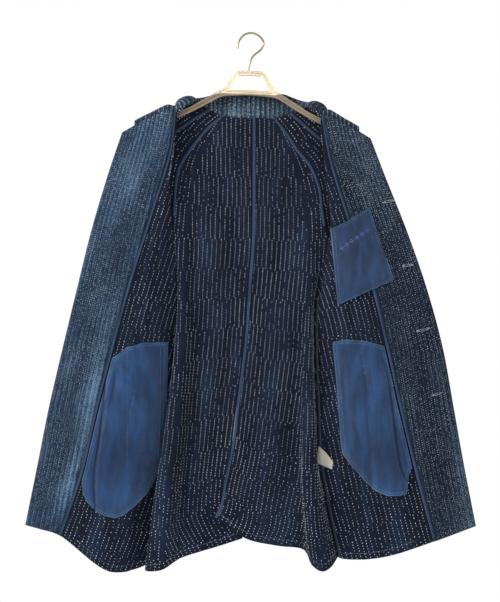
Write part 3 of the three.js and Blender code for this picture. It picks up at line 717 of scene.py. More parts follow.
def wall(name, surf, low, high, finishes):
    """A closed wall over a surface, from low to high along its normals.

    The first finish takes the high side and the rims, the last one the low side.
    """
    rows, columns = surf["p"].shape[:2]
    low_points = surf["p"] + surf["n"] * low
    high_points = surf["p"] + surf["n"] * high
    points = np.vstack([low_points.reshape(-1, 3), high_points.reshape(-1, 3)])
    uv = np.stack([surf["across"], np.repeat(surf["down"][:, None], columns, 1)], 2)
    uv = np.vstack([uv.reshape(-1, 2)] * 2)
    at, under = quads_of(rows, columns)
    count = at.size
    over = under[:, ::-1] + count
    rim = np.concatenate([at[0, ::-1], at[1:, 0], at[-1, 1:], at[-2:0:-1, -1]])
    after = np.roll(rim, -1)
    sides = np.stack([rim, after, after + count, rim + count], 1)
    faces = turned_out(points, [*under.tolist(), *over.tolist(), *sides.tolist()])
    kinds = [len(finishes) - 1] * len(under) + [0] * (len(over) + len(sides))
    return mesh_piece(name, points, faces, uv, finishes, kinds)


def cloth_piece(name, surf):
    piece = wall(name + "_cloth", surf, -THICK / 2, THICK / 2, [dark_cloth, worn_cloth])
    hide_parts(name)


for side, name in SIDES.items():
    parts = cloth[side]
    cloth_piece(f"front_{name}", parts["front"])
    cloth_piece(f"back_{name}", parts["back"])
    parts["sleeve_back"] = cut(parts["sleeve"], columns=slice(0, OVERARM + 1))
    parts["sleeve_front"] = cut(parts["sleeve"], columns=slice(OVERARM, None))
    cloth_piece(f"sleeve_back_{name}", parts["sleeve_back"])
    cloth_piece(f"sleeve_front_{name}", parts["sleeve_front"])

# %% [markdown]
# ## Running stitches
# Boro cloth is held by rows of running stitches. Each stitch is a small ridge of thread,
# a few faces only, and all those of a panel are one mesh. A row follows the grain: it
# stays at one distance across the cloth while it runs down.
# Instances on points would be lighter; joined meshes are simpler to export and check.

# %% Dropping points onto a front
IN_FRONT = -200.0
FRONT_DEPTH = -12.0


def front_tree(side):
    """The front's middle surface, to find where a line along the view meets it."""
    p = cloth[side]["front"]["p"]
    _, quads = quads_of(*p.shape[:2])
    return BVHTree.FromPolygons(p.reshape(-1, 3).tolist(), quads.tolist())


trees = {side: front_tree(side) for side in SIDES}


def laid(side, points, lift, away=-1, on=None):
    """Points [a, z] on the front's inner face (away -1) or outer face (away 1).

    Returns the places, the directions out of the cloth, and which points really met it.
    """
    places, normals, met = [], [], []
    tree = on or trees[side]
    for (a, z), height in zip(points, np.broadcast_to(lift, len(points))):
        hit, normal, _, _ = tree.ray_cast(Vector((side * a, IN_FRONT, z)), Vector((0, 1, 0)))
        met.append(hit is not None)
        if hit is None:
            hit, normal, _, _ = tree.find_nearest(Vector((side * a, FRONT_DEPTH, z)))
        out = np.array(normal) * (away if normal.y > 0 else -away)
        places.append(np.array(hit) + out * height)
        normals.append(out)
    return np.array(places), np.array(normals), np.array(met)


def in_cloth(side, plan, normal):
    """Directions [a, z], laid in the cloth's own plane."""
    along = np.stack([side * plan[:, 0], np.zeros(len(plan)), plan[:, 1]], 1)
    return unit(along - normal * (along * normal).sum(1)[:, None])


# %% Laying stitches on a surface
STITCH = (2.4, 1.5, 0.55)
BLOCK = 58.0
BLOCK_SHIFT = 0.42
MARGIN = 3.0
SWAY, SWAY_LENGTH = 0.9, 47.0
RIDGE = np.array([(-0.5, 0, 0), (0, -0.5, 0), (0.5, 0, 0), (0, 0.5, 0), (-0.25, 0, 1),
                  (0.25, 0, 1)])
RIDGE_FACES = np.array([(0, 1, 4), (4, 3, 0), (1, 5, 4), (4, 5, 3), (1, 2, 5), (5, 2, 3)])


def stitch_mesh(name, centre, along, normal, size, finish):
    """One mesh of ridges at points `centre`, pointing `along`.

    size is the length, width and height of a stitch, once for all or for each one.
    """
    sideways = unit(np.cross(normal, along))
    local = RIDGE[None] * np.broadcast_to(size, (len(centre), 3))[:, None]
    points = (centre[:, None] + local[..., :1] * along[:, None]
              + local[..., 1:2] * sideways[:, None] + local[..., 2:] * normal[:, None])
    faces = RIDGE_FACES[None] + len(RIDGE) * np.arange(len(centre))[:, None, None]
    points = points.reshape(-1, 3)
    print(f"{name}: {len(centre)} stitches")
    return mesh_piece(name, points, faces.reshape(-1, 3).tolist(), points[:, [0, 2]],
                      [finish])


def uneven(size, count):
    """Sizes for hand-sewn stitches: some shorter, some longer, all of one height."""
    vary = rng.uniform(0.75, 1.15, count)
    return np.stack([size[0] * vary, size[1] * vary, np.full(count, size[2])], 1)


# %% Finding places on a surface
def across_row(surf, key, row, s):
    """Points ("p") or normals ("n") at distances s across one row of a surface."""
    return np.stack([np.interp(s, surf["across"][row], surf[key][row, :, axis])
                     for axis in range(3)], -1)


def sampled(surf, down, across):
    """Point, normal and downward direction at distances down and across the cloth."""
    row = np.interp(down, surf["down"], np.arange(len(surf["down"])))
    above = np.minimum(row.astype(int), len(surf["down"]) - 2)
    share = (row - above)[:, None]
    p0, p1, n0, n1 = (
        np.array([across_row(surf, key, r, s) for r, s in zip(above + step, across)])
        for key in ("p", "n") for step in (0, 1)
    )
    return p0 + (p1 - p0) * share, unit(n0 + (n1 - n0) * share), unit(p1 - p0)


# %% Rows of running stitches
def running_rows(surf, row_gap, step, keep, pairs=0.0):
    """Distances down and across of the stitches, with the jumps between blocks of rows.

    pairs moves every second row towards the one before, as on the close-sewn facings.
    """
    down, across = [], []
    for t in np.arange(MARGIN, surf["down"][-1] - MARGIN, step):
        width = np.interp(t, surf["down"], surf["across"][:, -1])
        band = int(t // BLOCK)
        rows = np.arange(0.5, width / row_gap)
        s = rows * row_gap + (band % 2) * row_gap * BLOCK_SHIFT
        s = s - pairs * (np.floor(rows) % 2)
        s = s + SWAY * np.sin(t / SWAY_LENGTH + 0.35 * rows) + rng.normal(0, 0.16, len(s))
        group = np.sin(2.1 * band + 0.9 * rows) + np.sin(0.37 * rows - 1.7 * band)
        shown = rng.random(len(s)) < keep * np.clip(1.0 + 0.14 * group, 0.7, 1)
        shown &= (s > MARGIN) & (s < width - MARGIN)
        late = step * 0.5 * (np.floor(rows[shown]) % 2)
        down.append(t + late + rng.normal(0, 0.2, shown.sum()))
        across.append(s[shown])
    return np.concatenate(down), np.concatenate(across)


def stitched(name, surf, row_gap, step, keep, lift, finish, size=STITCH, pairs=0.0):
    """Rows of running stitches over a surface, on its inner face or, if lift < 0, its outer."""
    down, across = running_rows(surf, row_gap, step, keep, pairs)
    point, normal, fall = sampled(surf, np.clip(down, 0, surf["down"][-1]), across)
    stitch_mesh(name, point + normal * lift, fall, normal * math.copysign(1, lift),
                uneven(size, len(down)), finish)


# %% [markdown]
# ## Fields of stitches
# The back folds in steeply beside its side seams. Rows counted from the centre back would
# cross that fold aslant, with stitches like the rungs of a ladder. So each back is sewn as
# two fields that meet at the fold, and each counts its rows from its own first column.

# %% Stitches on the inside of the back and sleeves
FACING = 4 * ACROSS
STEP = 5.2
FOLD_COLUMN = {LEFT: 24, RIGHT: 21}
SLEEVE_SEEN = 10
for side, name in SIDES.items():
    parts = cloth[side]
    fields = {"": slice(0, FOLD_COLUMN[side] + 1), "_side": slice(FOLD_COLUMN[side], None)}
    for field, columns in fields.items():
        stitched(f"stitches_back_{name}{field}", cut(parts["back"], columns=columns), ROW_GAP,
                 STEP, 0.95, THICK / 2, undyed_thread)
    for part in ("sleeve_back", "sleeve_front"):
        stitched(f"stitches_{part}_{name}", cut(parts[part], rows=slice(0, SLEEVE_SEEN * FINE)),
                 ROW_GAP, STEP, 0.9, THICK / 2, undyed_thread)

# %% [markdown]
# ### The fronts
# On the fronts the rows follow the facing's slanting edge, as the photograph shows. They
# are drawn flat, as seen from the front, and dropped onto the cloth: its own measure
# starts at the other edge and would lead them astray.

# %% Stitches on the inside of the fronts
FRONT_ROWS = 26
FIRST_ROW = 1.05
FRONT_SHIFT = 3.2
BEYOND = 60


def front_stitches(side):
    """Rows at even distances from the facing's edge, seen in plan."""
    edge = cloth[side]["front"]["p"][:, FACING] * [side, 1, 1]
    run = run_along(edge)
    t = np.arange(-BEYOND, run[-1] + BEYOND, STEP)
    line = np.stack([np.interp(t, run, edge[:, k]) for k in (0, 2)], 1)
    along = np.gradient(line, axis=0)
    along[t < 5] = along[t > 12][0]
    along[t > run[-1] - 5] = along[t < run[-1] - 12][-1]
    along = unit(along)
    early, late = t < 0, t > run[-1]
    line[early] = edge[0, [0, 2]] + along[early] * t[early][:, None]
    line[late] = edge[-1, [0, 2]] + along[late] * (t[late] - run[-1])[:, None]
    inwards = np.stack([along[:, 1], -along[:, 0]], 1)
    spots, runs = [], []
    for k in range(FRONT_ROWS):
        drift = np.sin(t / 50.0 + 0.4 * k) + FRONT_SHIFT * (np.floor(t / BLOCK) % 2)
        row = line + inwards * ((k + FIRST_ROW) * ROW_GAP + drift)[:, None]
        row += along * (STEP * 0.5 * (k % 2)) + rng.normal(0, 0.15, row.shape)
        group = np.sin(2.1 * np.floor(t / BLOCK) + 0.9 * k)
        shown = rng.random(len(t)) < np.clip(0.95 + 0.2 * group, 0.7, 0.97)
        spots.append(row[shown])
        runs.append(along[shown])
    point, normal, met = laid(side, np.vstack(spots), THICK / 2)
    point, normal, runs = point[met], normal[met], np.vstack(runs)[met]
    stitch_mesh(f"stitches_front_{SIDES[side]}", point, in_cloth(side, runs, normal), normal,
                uneven(STITCH, len(point)), undyed_thread)


for side in SIDES:
    front_stitches(side)

# %% [markdown]
# ## Facings and seam bindings
# The facing is a strip of the same cloth with its worn side up. The raw seam edges are
# bound with bias tape, which is why blue lines run over the inside. A tape is rounded,
# so its strip is higher in the middle than at its edges.

# %% Facings
FACING_LOW, FACING_HIGH = 1.2, 2.9
CLOSE_ROWS, CLOSE_STEP = 4.5, 3.7
# Left facing brighter, right darker: partly their own fade, partly painted light and shade.
facing_finish = {LEFT: worn_blue_and_lit, RIGHT: worn_dark_and_shaded}
for side, name in SIDES.items():
    strip = cut(cloth[side]["front"], columns=slice(0, FACING + 1))
    piece = wall(f"facing_{name}_cloth", strip, FACING_LOW, FACING_HIGH,
                 [facing_finish[side]])
    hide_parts(f"facing_{name}")
    stitched(f"facing_stitches_{name}", strip, CLOSE_ROWS, CLOSE_STEP, 0.86, FACING_HIGH,
             faded_thread, (2.0, 1.4, 0.5), pairs=1.0)


# %% [markdown]
# ### Bindings
# A bias binding is a tape folded round a raw edge. A curve with a flat bevel could make
# it. A ribbon cut out of the panel's own surface follows every crease without a gap.

# %% Tapes
TAPE_WIDTH = 5.0
TAPE_POINTS = 7
TAPE_THICK = 0.8
TAPE_STITCH = (1.7, 0.5, 0.3)


def tape_surface(surf, column, towards, start, rows=slice(None)):
    """A ribbon beside a column of a surface; towards is 1 or -1, start its distance."""
    area = cut(surf, rows=rows)
    base = area["across"][:, column][:, None]
    stops = base + towards * (start + TAPE_WIDTH * np.linspace(0, 1, TAPE_POINTS))
    p, n = (np.stack([across_row(area, key, r, stops[r]) for r in range(len(stops))])
            for key in ("p", "n"))
    return {"p": p, "n": unit(n), "across": abs(stops - stops[:, :1]), "down": area["down"]}


def tape(name, ribbon, lift, finish=seam_tape):
    """A bias binding, rounded across, with small stitches along one edge."""
    round_up = 0.55 * np.sin(np.linspace(0, np.pi, TAPE_POINTS))[None, :, None]
    ribbon = dict(ribbon, p=ribbon["p"] + ribbon["n"] * (lift + round_up))
    piece = wall(f"{name}_tape", ribbon, 0, TAPE_THICK, [finish])
    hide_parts(name)
    sewn = np.arange(1.5, ribbon["down"][-1] - 1.5, 2.6)
    point, normal, fall = sampled(ribbon, sewn, np.full(len(sewn), TAPE_WIDTH * 0.8))
    stitch_mesh(f"{name}_sewing", point + normal * TAPE_THICK, fall, normal, TAPE_STITCH,
                blue_thread)


body_rows = slice(4 * FINE, None)
hole_rows = slice(0, (ARMHOLE_CELLS - 1) * FINE + 1)
for side, name in SIDES.items():
    front, back, sleeve = (cloth[side][part] for part in ("front", "back", "sleeve_back"))
    tape(f"binding_facing_{name}", tape_surface(front, FACING, 1, 0.4), 1.4)
    # The side binding takes the darker tape: painted shade of the side fold.
    tape(f"binding_side_{name}", tape_surface(front, -1 - ACROSS, -1, 0.4, body_rows), 1.3,
         side_tape_shaded)
    tape(f"binding_raglan_{name}", tape_surface(back, -1, -1, 0.6, hole_rows), 1.5)
    tape(f"binding_overarm_{name}", tape_surface(sleeve, OVERARM, -1, 0.5), 1.2)
tape("binding_centre_back", tape_surface(cloth[RIGHT]["back"], 0, 1, 0.4), 1.2)

# %% [markdown]
# ### Hems and the right side
# The hem is turned up and sewn by hand, and the running stitches show on the right side
# too. Both come from the functions above, with other sizes.

# %% Hem stitching, and dots on the right side
HEM = 12.0


def hem_line(name, surf):
    """Small stitches along the bottom, the width of a turned hem above it."""
    s = np.arange(MARGIN, surf["across"][-1, -1] - MARGIN, 3.1)
    point, normal, fall = sampled(surf, np.full(len(s), surf["down"][-1] - HEM), s)
    stitch_mesh(name, point + normal * THICK / 2, np.cross(normal, fall), normal,
                (2.2, 0.8, 0.4), faded_thread)


for side, name in SIDES.items():
    parts = cloth[side]
    hem_line(f"hem_back_{name}", parts["back"])
    hem_line(f"hem_front_{name}", cut(parts["front"], columns=slice(FACING + ACROSS, None)))
    for part in ("front", "back", "sleeve_back", "sleeve_front"):
        stitched(f"outer_stitches_{part}_{name}", parts[part], WORN_COLUMN, STEP, 0.8,
                 -THICK / 2, faded_thread)

# %% [markdown]
# ## Pocket bags, chest pocket, label and welts
# These are cut to an outline and lie on a front. The outline is filled with points,
# dropped onto the front along the view and lifted off it. A pocket bag is slack, so it
# puffs up away from its sewn edge and gets a few creases.
# A plane wrapped onto the front would do, but a filled outline keeps its corners where
# the frame has them.

# %% Lines and distances in the plan
def even_outline(outline, step):
    """The outline with points every step or so, its corners kept."""
    points = []
    for one, two in zip(outline, outline[1:] + outline[:1]):
        one, two = np.array(one, float), np.array(two, float)
        count = max(1, round(float(np.linalg.norm(two - one)) / step))
        points += [one + (two - one) * k / count for k in range(count)]
    return np.array(points)


def line_distance(points, line):
    """How far points are from an open line."""
    best = np.full(len(points), 1e9)
    line = np.asarray(line, float)
    for one, two in zip(line, line[1:]):
        run = two - one
        t = np.clip(((points - one) @ run) / max(run @ run, 1e-9), 0, 1)
        best = np.minimum(best, np.linalg.norm(points - one - t[:, None] * run, axis=1))
    return best


def edge_distance(points, outline):
    """How far points are from a closed outline."""
    return line_distance(points, np.vstack([outline, outline[:1]]))


def inset(outline, distance):
    """The outline moved inwards."""
    p = np.array(outline, float)
    before, after = unit(p - np.roll(p, 1, axis=0)), unit(np.roll(p, -1, axis=0) - p)
    x, z = p.T
    turn = np.sign(np.dot(x, np.roll(z, -1)) - np.dot(z, np.roll(x, -1)))
    normal = unit(np.stack([-(before + after)[:, 1], (before + after)[:, 0]], 1) * turn)
    return [tuple(q) for q in p + normal * distance]


def beside(line, distance):
    """A line of [a, z] points moved sideways."""
    run = unit(np.gradient(line, axis=0))
    return line + np.stack([-run[:, 1], run[:, 0]], 1) * distance


def inside_of(points, ring):
    """Which points the ring goes round, by its turning angle."""
    turn = np.zeros(len(points))
    for one, two in zip(ring, np.roll(ring, -1, axis=0)):
        v1, v2 = one - points, two - points
        turn += np.arctan2(v1[:, 0] * v2[:, 1] - v1[:, 1] * v2[:, 0], (v1 * v2).sum(1))
    return abs(turn) > 3


# %% Filling an outline with points
FOLD = 2.6
SLACK = 14.0
GROOVE = 0.9


def filled(rings, deep, step):
    """Points and triangles that fill the first ring, with every ring and fold as edges."""
    low, high = rings[0].min(0), rings[0].max(0)
    xs, zs = np.arange(low[0], high[0], step), np.arange(low[1], high[1], step)
    grid = np.array([(x + (k % 2) * step / 2, z) for k, z in enumerate(zs) for x in xs])
    clear = inside_of(grid, rings[0])
    for ring in rings:
        clear &= edge_distance(grid, ring) > step * 0.5
    folds = []
    if deep is not None:
        folds = [beside(deep, FOLD * share) for share in (-1, -0.5, 0, 0.5, 1)]
        clear &= line_distance(grid, deep) > FOLD + step * 0.4
    edges, first = [], 0
    for line, closed in [(ring, 1) for ring in rings] + [(fold, 0) for fold in folds]:
        count = len(line)
        edges += [(first + k, first + (k + 1) % count) for k in range(count - 1 + closed)]
        first += count
    plan = [Vector(p) for p in np.vstack([*rings, *folds, grid[clear]])]
    result = delaunay_2d_cdt(plan, edges, [], 1, 1e-4)
    return np.array([tuple(v) for v in result[0]]), [tuple(face) for face in result[2]]


# %% Slack, creases and grooves
def height_over(plan, from_edge, puff, creases, rims):
    """How high the shape lies at each point: its slack, its creases and its grooves."""
    rise = puff * (1 - np.exp(-from_edge / SLACK))
    for line, width, height in creases:
        off = line_distance(plan, line)
        rise += height * np.exp(-((off / width) ** 2)) * np.clip(from_edge / 9, 0, 1)
    rise = np.maximum(rise, 0)
    for distance in rims:
        rise -= GROOVE * np.exp(-(((from_edge - distance) / 1.1) ** 2))
    if rims:
        rise += GROOVE
    return np.maximum(rise, 0)


# %% The finish of each face
def finish_number(far, in_fold, has_fold, rims):
    """1 on the folded edge, 2 in the deep fold (painted shade), 3 on the strip beside the edge,
    else 0.
    """
    if in_fold:
        return 2
    if rims and far < rims[0] + 0.1:
        return 1
    if has_fold and far < rims[-1] + 0.1:
        return 3
    return 0


def border_of(triangles):
    """The edges that belong to one triangle only."""
    uses = {}
    for tri in triangles:
        for pair in zip(tri, tri[1:] + tri[:1]):
            key = tuple(sorted(pair))
            uses[key] = None if key in uses else pair
    return [pair for pair in uses.values() if pair]


# %% The closed shape
def cut_shape(name, side, outline, lift, thick, finishes, slot, puff=0.0, creases=(),
              step=4.0, away=-1, rims=()):
    """A closed thin shape over an outline of [a, z] points.

    The first rim ends the folded edge, which takes the second finish; a second rim is
    a sewn groove. A crease is a line of points, its width and its height. With four
    finishes the first crease is a deep fold: its bottom takes the third, a darker twill
    that is painted shade with some unfaded dye, and the strip between the two rims
    takes the fourth.
    """
    rings = [even_outline(outline, step)]
    rings += [even_outline(inset(outline, distance), step) for distance in rims]
    has_fold = len(finishes) > 2
    deep = smooth(creases[0][0], np.linspace(0, 1, 60)) if has_fold else None
    plan, triangles = filled(rings, deep, step)
    from_edge = edge_distance(plan, rings[0])
    rise = height_over(plan, from_edge, puff, creases, rims)
    bottom, normal, _ = laid(side, plan, rise + lift, away)
    top = bottom + normal * thick
    count = len(plan)
    border = border_of(triangles)
    faces = [tri[::-1] for tri in triangles] + [tuple(v + count for v in tri) for tri in triangles]
    faces += [(a, b, b + count, a + count) for a, b in border]
    # Faces at the deep fold's bottom take the darker twill: painted shade, with some unfaded dye.
    in_fold = np.zeros(count, bool)
    if has_fold:
        in_fold = line_distance(plan, deep) < FOLD / 2 + 0.2
    kinds = [finish_number(from_edge[list(tri)].max(), in_fold[list(tri)].all(), has_fold, rims)
             for tri in triangles] * 2
    kinds += [int(bool(rims))] * len(border)
    piece = mesh_piece(name, np.vstack([bottom, top]), faces, np.vstack([plan, plan]), finishes,
                       kinds)
    shape = bmesh.new()
    shape.from_mesh(piece.data)
    bmesh.ops.recalc_face_normals(shape, faces=shape.faces)
    shape.to_mesh(piece.data)
    shape.free()
    return piece


# %% Placing a shape and sewing on it
def laid_piece(node_name, kind, side, outline, **shape):
    """A cut shape in place of one CAD node, which it hides."""
    piece = cut_shape(f"{node_name}_{kind}", side, outline, **shape)
    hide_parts(node_name)
    return piece


def tree_of(piece):
    """A piece's own surface, for the stitches that lie on it."""
    return BVHTree.FromPolygons([v.co / MM for v in piece.data.vertices],
                                [tuple(face.vertices) for face in piece.data.polygons])


def sewn_line(name, side, line, lift, finish, size=(1.9, 0.9, 0.5), step=2.8, away=-1,
              closed=False, on=None):
    """A row of small stitches along a line of [a, z] points, on a front or on a piece."""
    corners = [np.array(p, float) for p in (line + line[:1] if closed else line)]
    spots = []
    for one, two in zip(corners, corners[1:]):
        count = max(1, round(float(np.linalg.norm(two - one)) / step))
        spots += [one + (two - one) * (k + 0.5) / count for k in range(count)]
    ahead = np.roll(spots, -1, axis=0) - spots
    ahead[-1] = ahead[-2]
    point, normal, _ = laid(side, spots, lift, away, on)
    stitch_mesh(name, point, in_cloth(side, ahead, normal), normal, size, finish)


# %% [markdown]
# ### The pocket bags
# A bag is sewn round its edge, folded over there, and pulled into one deep fold by its
# own weight. The thick edge, the sewn groove and the fold could be sculpted; as rims and
# creases they are a few numbers, and each can take a finish of its own. The fold's bottom
# is coloured darker: painted shade, with some unfaded dye.

# %% The two pocket bags
pocket_bag = {
    LEFT: [
        (256, -599), (228, -579), (197, -570), (156, -570.5), (157, -640), (158, -706),
        (161, -784), (166, -795), (179, -823), (193, -849), (214, -869.5), (236, -888),
        (250, -893), (271, -888), (286, -879), (302, -863), (309, -849), (311.5, -823),
        (307, -808), (279, -689),
    ],
    RIGHT: [
        (153, -569), (175, -565), (207, -567), (243.5, -577), (270, -693.6), (295, -800),
        (289, -813), (285, -849), (268, -852), (250, -852), (228, -843), (210, -827),
        (189, -802), (169, -777), (166, -759), (158.7, -652), (151.5, -578),
    ],
}
bag_creases = {
    LEFT: [([(266, -623), (280, -742), (289, -807), (288, -878)], 3.4, -8.0),
           ([(256, -628), (270, -742), (278, -807), (277, -866)], 5.0, 2.4),
           ([(228, -583), (228, -800)], 1.6, -0.7), ([(180, -618), (212, -693)], 7.0, -2.0),
           ([(219, -776), (182, -768)], 3.0, -2.2), ([(222, -790), (190, -801)], 3.0, -1.6),
           ([(200, -640), (196, -750)], 9.0, 1.4), ([(246, -640), (250, -850)], 8.0, -1.6),
           ([(256, -606), (226, -640)], 4.0, -2.2), ([(176, -740), (232, -866)], 7.0, 1.4)],
    RIGHT: [([(245, -605), (252, -647), (263, -730), (274, -800), (286, -826)], 3.6, -8.0),
            ([(236, -620), (243, -660), (252, -735), (262, -810)], 5.0, 2.2),
            ([(191, -718), (208, -765)], 5.0, -2.6), ([(176, -600), (186, -720)], 8.0, 1.5),
            ([(160, -580), (236, -606)], 5.0, -1.6), ([(214, -640), (222, -830)], 8.0, -1.8),
            ([(176, -768), (230, -762)], 4.0, -1.4), ([(172, -640), (180, -740)], 4.0, -1.6)],
}
EDGE_INSET, HEM_INSET = 2.0, 7.5
bag_finishes = [pocket_twill, twill_edge, twill_fold_shade, twill_strip]
bag_seams = {LEFT: {"centre": [(228, -588), (228, -700), (228, -800)],
                    "side": [(168, -578), (169, -706), (172, -784)]}, RIGHT: {}}
for side, name in SIDES.items():
    outline = pocket_bag[side]
    bag = laid_piece(f"pocket_bag_{name}", "twill", side, outline, lift=1.35, thick=0.9,
                     finishes=bag_finishes, slot="pocket_twill", puff=4.6,
                     creases=bag_creases[side], rims=(EDGE_INSET, HEM_INSET))
    on_bag = tree_of(bag)
    sewn_line(f"pocket_bag_{name}_sewing", side, inset(outline, HEM_INSET - 1.6), 0.2,
              blue_thread, closed=True, on=on_bag)
    for seam, line in bag_seams[side].items():
        sewn_line(f"pocket_bag_{name}_{seam}_sewing", side, line, 0.2, blue_thread,
                  on=on_bag)

# %% [markdown]
# ### The chest pocket
# The real pocket carries a small embroidered mark. Six plain crosses stand in its place.
# Each is two stitches, laid on the pocket's own surface so that they follow its slack.

# %% The chest pocket, with a plain row of sewn crosses
chest_pocket = [(149, -361), (179, -346), (216, -322), (238, -387), (261, -455), (161, -501)]
chest_creases = [
    ([(169, -392), (176, -485)], 4.0, -4.0), ([(197, -390), (186, -481)], 4.0, -4.0),
    ([(182, -388), (180, -480)], 5.0, 2.0), ([(236, -392), (246, -446)], 8.0, 1.0),
    ([(160, -372), (222, -352)], 4.0, -1.2), ([(158, -370), (166, -480)], 3.0, -1.6),
]
chest = laid_piece("chest_pocket", "twill", RIGHT, chest_pocket, lift=3.3, thick=0.9,
                   finishes=[chest_twill, twill_edge], slot="pocket_twill", puff=2.4,
                   creases=chest_creases, rims=(1.6, 6.0))
on_chest = tree_of(chest)
sewn_line("chest_pocket_sewing", RIGHT, inset(chest_pocket, 4.6), 0.2, blue_thread,
          closed=True, on=on_chest)
violet_thread = thread_finish("violet_thread", (0.12, 0.15, 0.45), (0.28, 0.34, 0.78))
CROSSES, CROSS_REACH, CROSS_TURN = 6, 4.6, 0.55
FIRST_CROSS, CROSS_RUN = np.array([166, -397]), np.array([46, 32])
for k, share in enumerate(np.linspace(0, 1, CROSSES)):
    middle = FIRST_CROSS + share * CROSS_RUN
    for stroke, turn in (("rise", CROSS_TURN), ("cross", CROSS_TURN + math.pi / 2)):
        reach = np.array([math.cos(turn), math.sin(turn)]) * CROSS_REACH
        ends = [tuple(middle - reach), tuple(middle + reach)]
        sewn_line(f"chest_cross_{k + 1}_{stroke}", RIGHT, ends, 0.3, violet_thread,
                  (2.8, 1.5, 0.5), step=3.0, on=on_chest)

# %% [markdown]
# ### Label and welts
# The label is a bare bit of tape with a folded corner, and a welt is a narrow strip that
# finishes a pocket's mouth outside. Both are small cut shapes, like the pockets.

# %% The care label and the welts of the pocket mouths
care_label = [(125.6, -763), (122, -795), (150, -806), (152, -792), (140, -776)]
laid_piece("care_label", "tape", RIGHT, care_label, lift=2.9, thick=0.5,
           finishes=[label_tape], slot="label_tape", puff=1.6,
           creases=[([(128, -770), (132, -800)], 3.0, 1.5)], step=3.0)
pocket_welt = {
    LEFT: [(170, -604), (250, -596), (252, -614), (172, -622)],
    RIGHT: [(166, -600), (240, -592), (242, -610), (168, -618)],
}
for side, name in SIDES.items():
    laid_piece(f"pocket_welt_{name}", "cloth", side, pocket_welt[side], lift=1.2, thick=1.4,
               finishes=[worn_cloth], slot="worn_cloth", puff=0.4, away=1)
    sewn_line(f"pocket_welt_{name}_sewing", side, inset(pocket_welt[side], 2.2), 3.0,
              faded_thread, away=1, closed=True)

# %% [markdown]
# ## Collar
# The collar is one band that rises from the neck seam. It stands at the back and rolls
# over the shoulders at the fronts. Its path is read from the top edges of the panels,
# so it follows whatever they do.
# It could be cut flat and bent with a modifier; rings of points along the path keep its
# lower edge on the neck seam.

# %% The collar's path and roll
COLLAR_HEIGHT, ROLLED_HEIGHT = 39, 11
COLLAR_STOPS = 170
PATH_STEP = 6
ROLL_FROM, ROLL_FULL, SHOULDER_END = 50, 104, 150


def neck_path(side):
    parts = cloth[side]
    front = parts["front"]["p"][0][ACROSS : FACING - 1]
    sleeve = parts["sleeve"]["p"][0][::-1]
    back = parts["back"]["p"][0][1:-2][::-1]
    path = np.vstack([front, sleeve, back])
    kept = [path[0]]
    for point in path[1:]:
        if np.linalg.norm(point - kept[-1]) >= PATH_STEP:
            kept.append(point)
    return np.array(kept)


path = np.vstack([neck_path(LEFT), neck_path(RIGHT)[::-1]])
path = spaced(path, np.linspace(0, 1, COLLAR_STOPS))
out = np.abs(path[:, 0])
roll = ease(out, ROLL_FROM, ROLL_FULL)
rise = COLLAR_HEIGHT + (ROLLED_HEIGHT - COLLAR_HEIGHT) * roll
lean = 1.5 + 22.5 * roll
sideways = roll * (1 - ease(out, ROLL_FULL, SHOULDER_END))
flat = np.zeros(len(path))
away = unit(np.stack([np.sign(path[:, 0]) * sideways, 1 - 0.6 * sideways, flat], 1))
profile = smooth([(0, 0), (0.06, 0.5), (0.3, 0.93), (0.7, 1), (1, 0.82)], np.linspace(0, 1, 15))
rows = []
for across, up in profile:
    level = rise * (up + (1 - roll) * 0.18 * across) - 1.0
    rows.append(path + away * (lean * across)[:, None] + np.stack([flat, flat, level], 1))
collar_surface = surface(np.stack(rows), 1)
collar_surface["across"] = np.repeat(run_along(path)[None], len(rows), 0)

# %% The collar's cloth
middle_ridge = run_along(path)[-1] / 2 / WORN_COLUMN
collar_inside = worn_finish("collar_worn", (0.004, 0.008, 0.018), (0.018, 0.032, 0.056),
                            (0.200, 0.290, 0.380), 0.84,
                            [(middle_ridge, 0.004, 14, 0.018, 0.45)])
collar = wall("collar_cloth", collar_surface, -THICK / 2, THICK / 2,
              [collar_inside, worn_cloth])
stitched("collar_stitches", collar_surface, WORN_COLUMN, 3.6, 0.9, THICK / 2, faded_thread)
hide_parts("collar")

# %% [markdown]
# ## Buttons and buttonholes
# The buttons are hard pieces, so the frame's own are kept and only dressed. A buttonhole
# is a slit edged with close thread: an oval of short stitches across its edge.

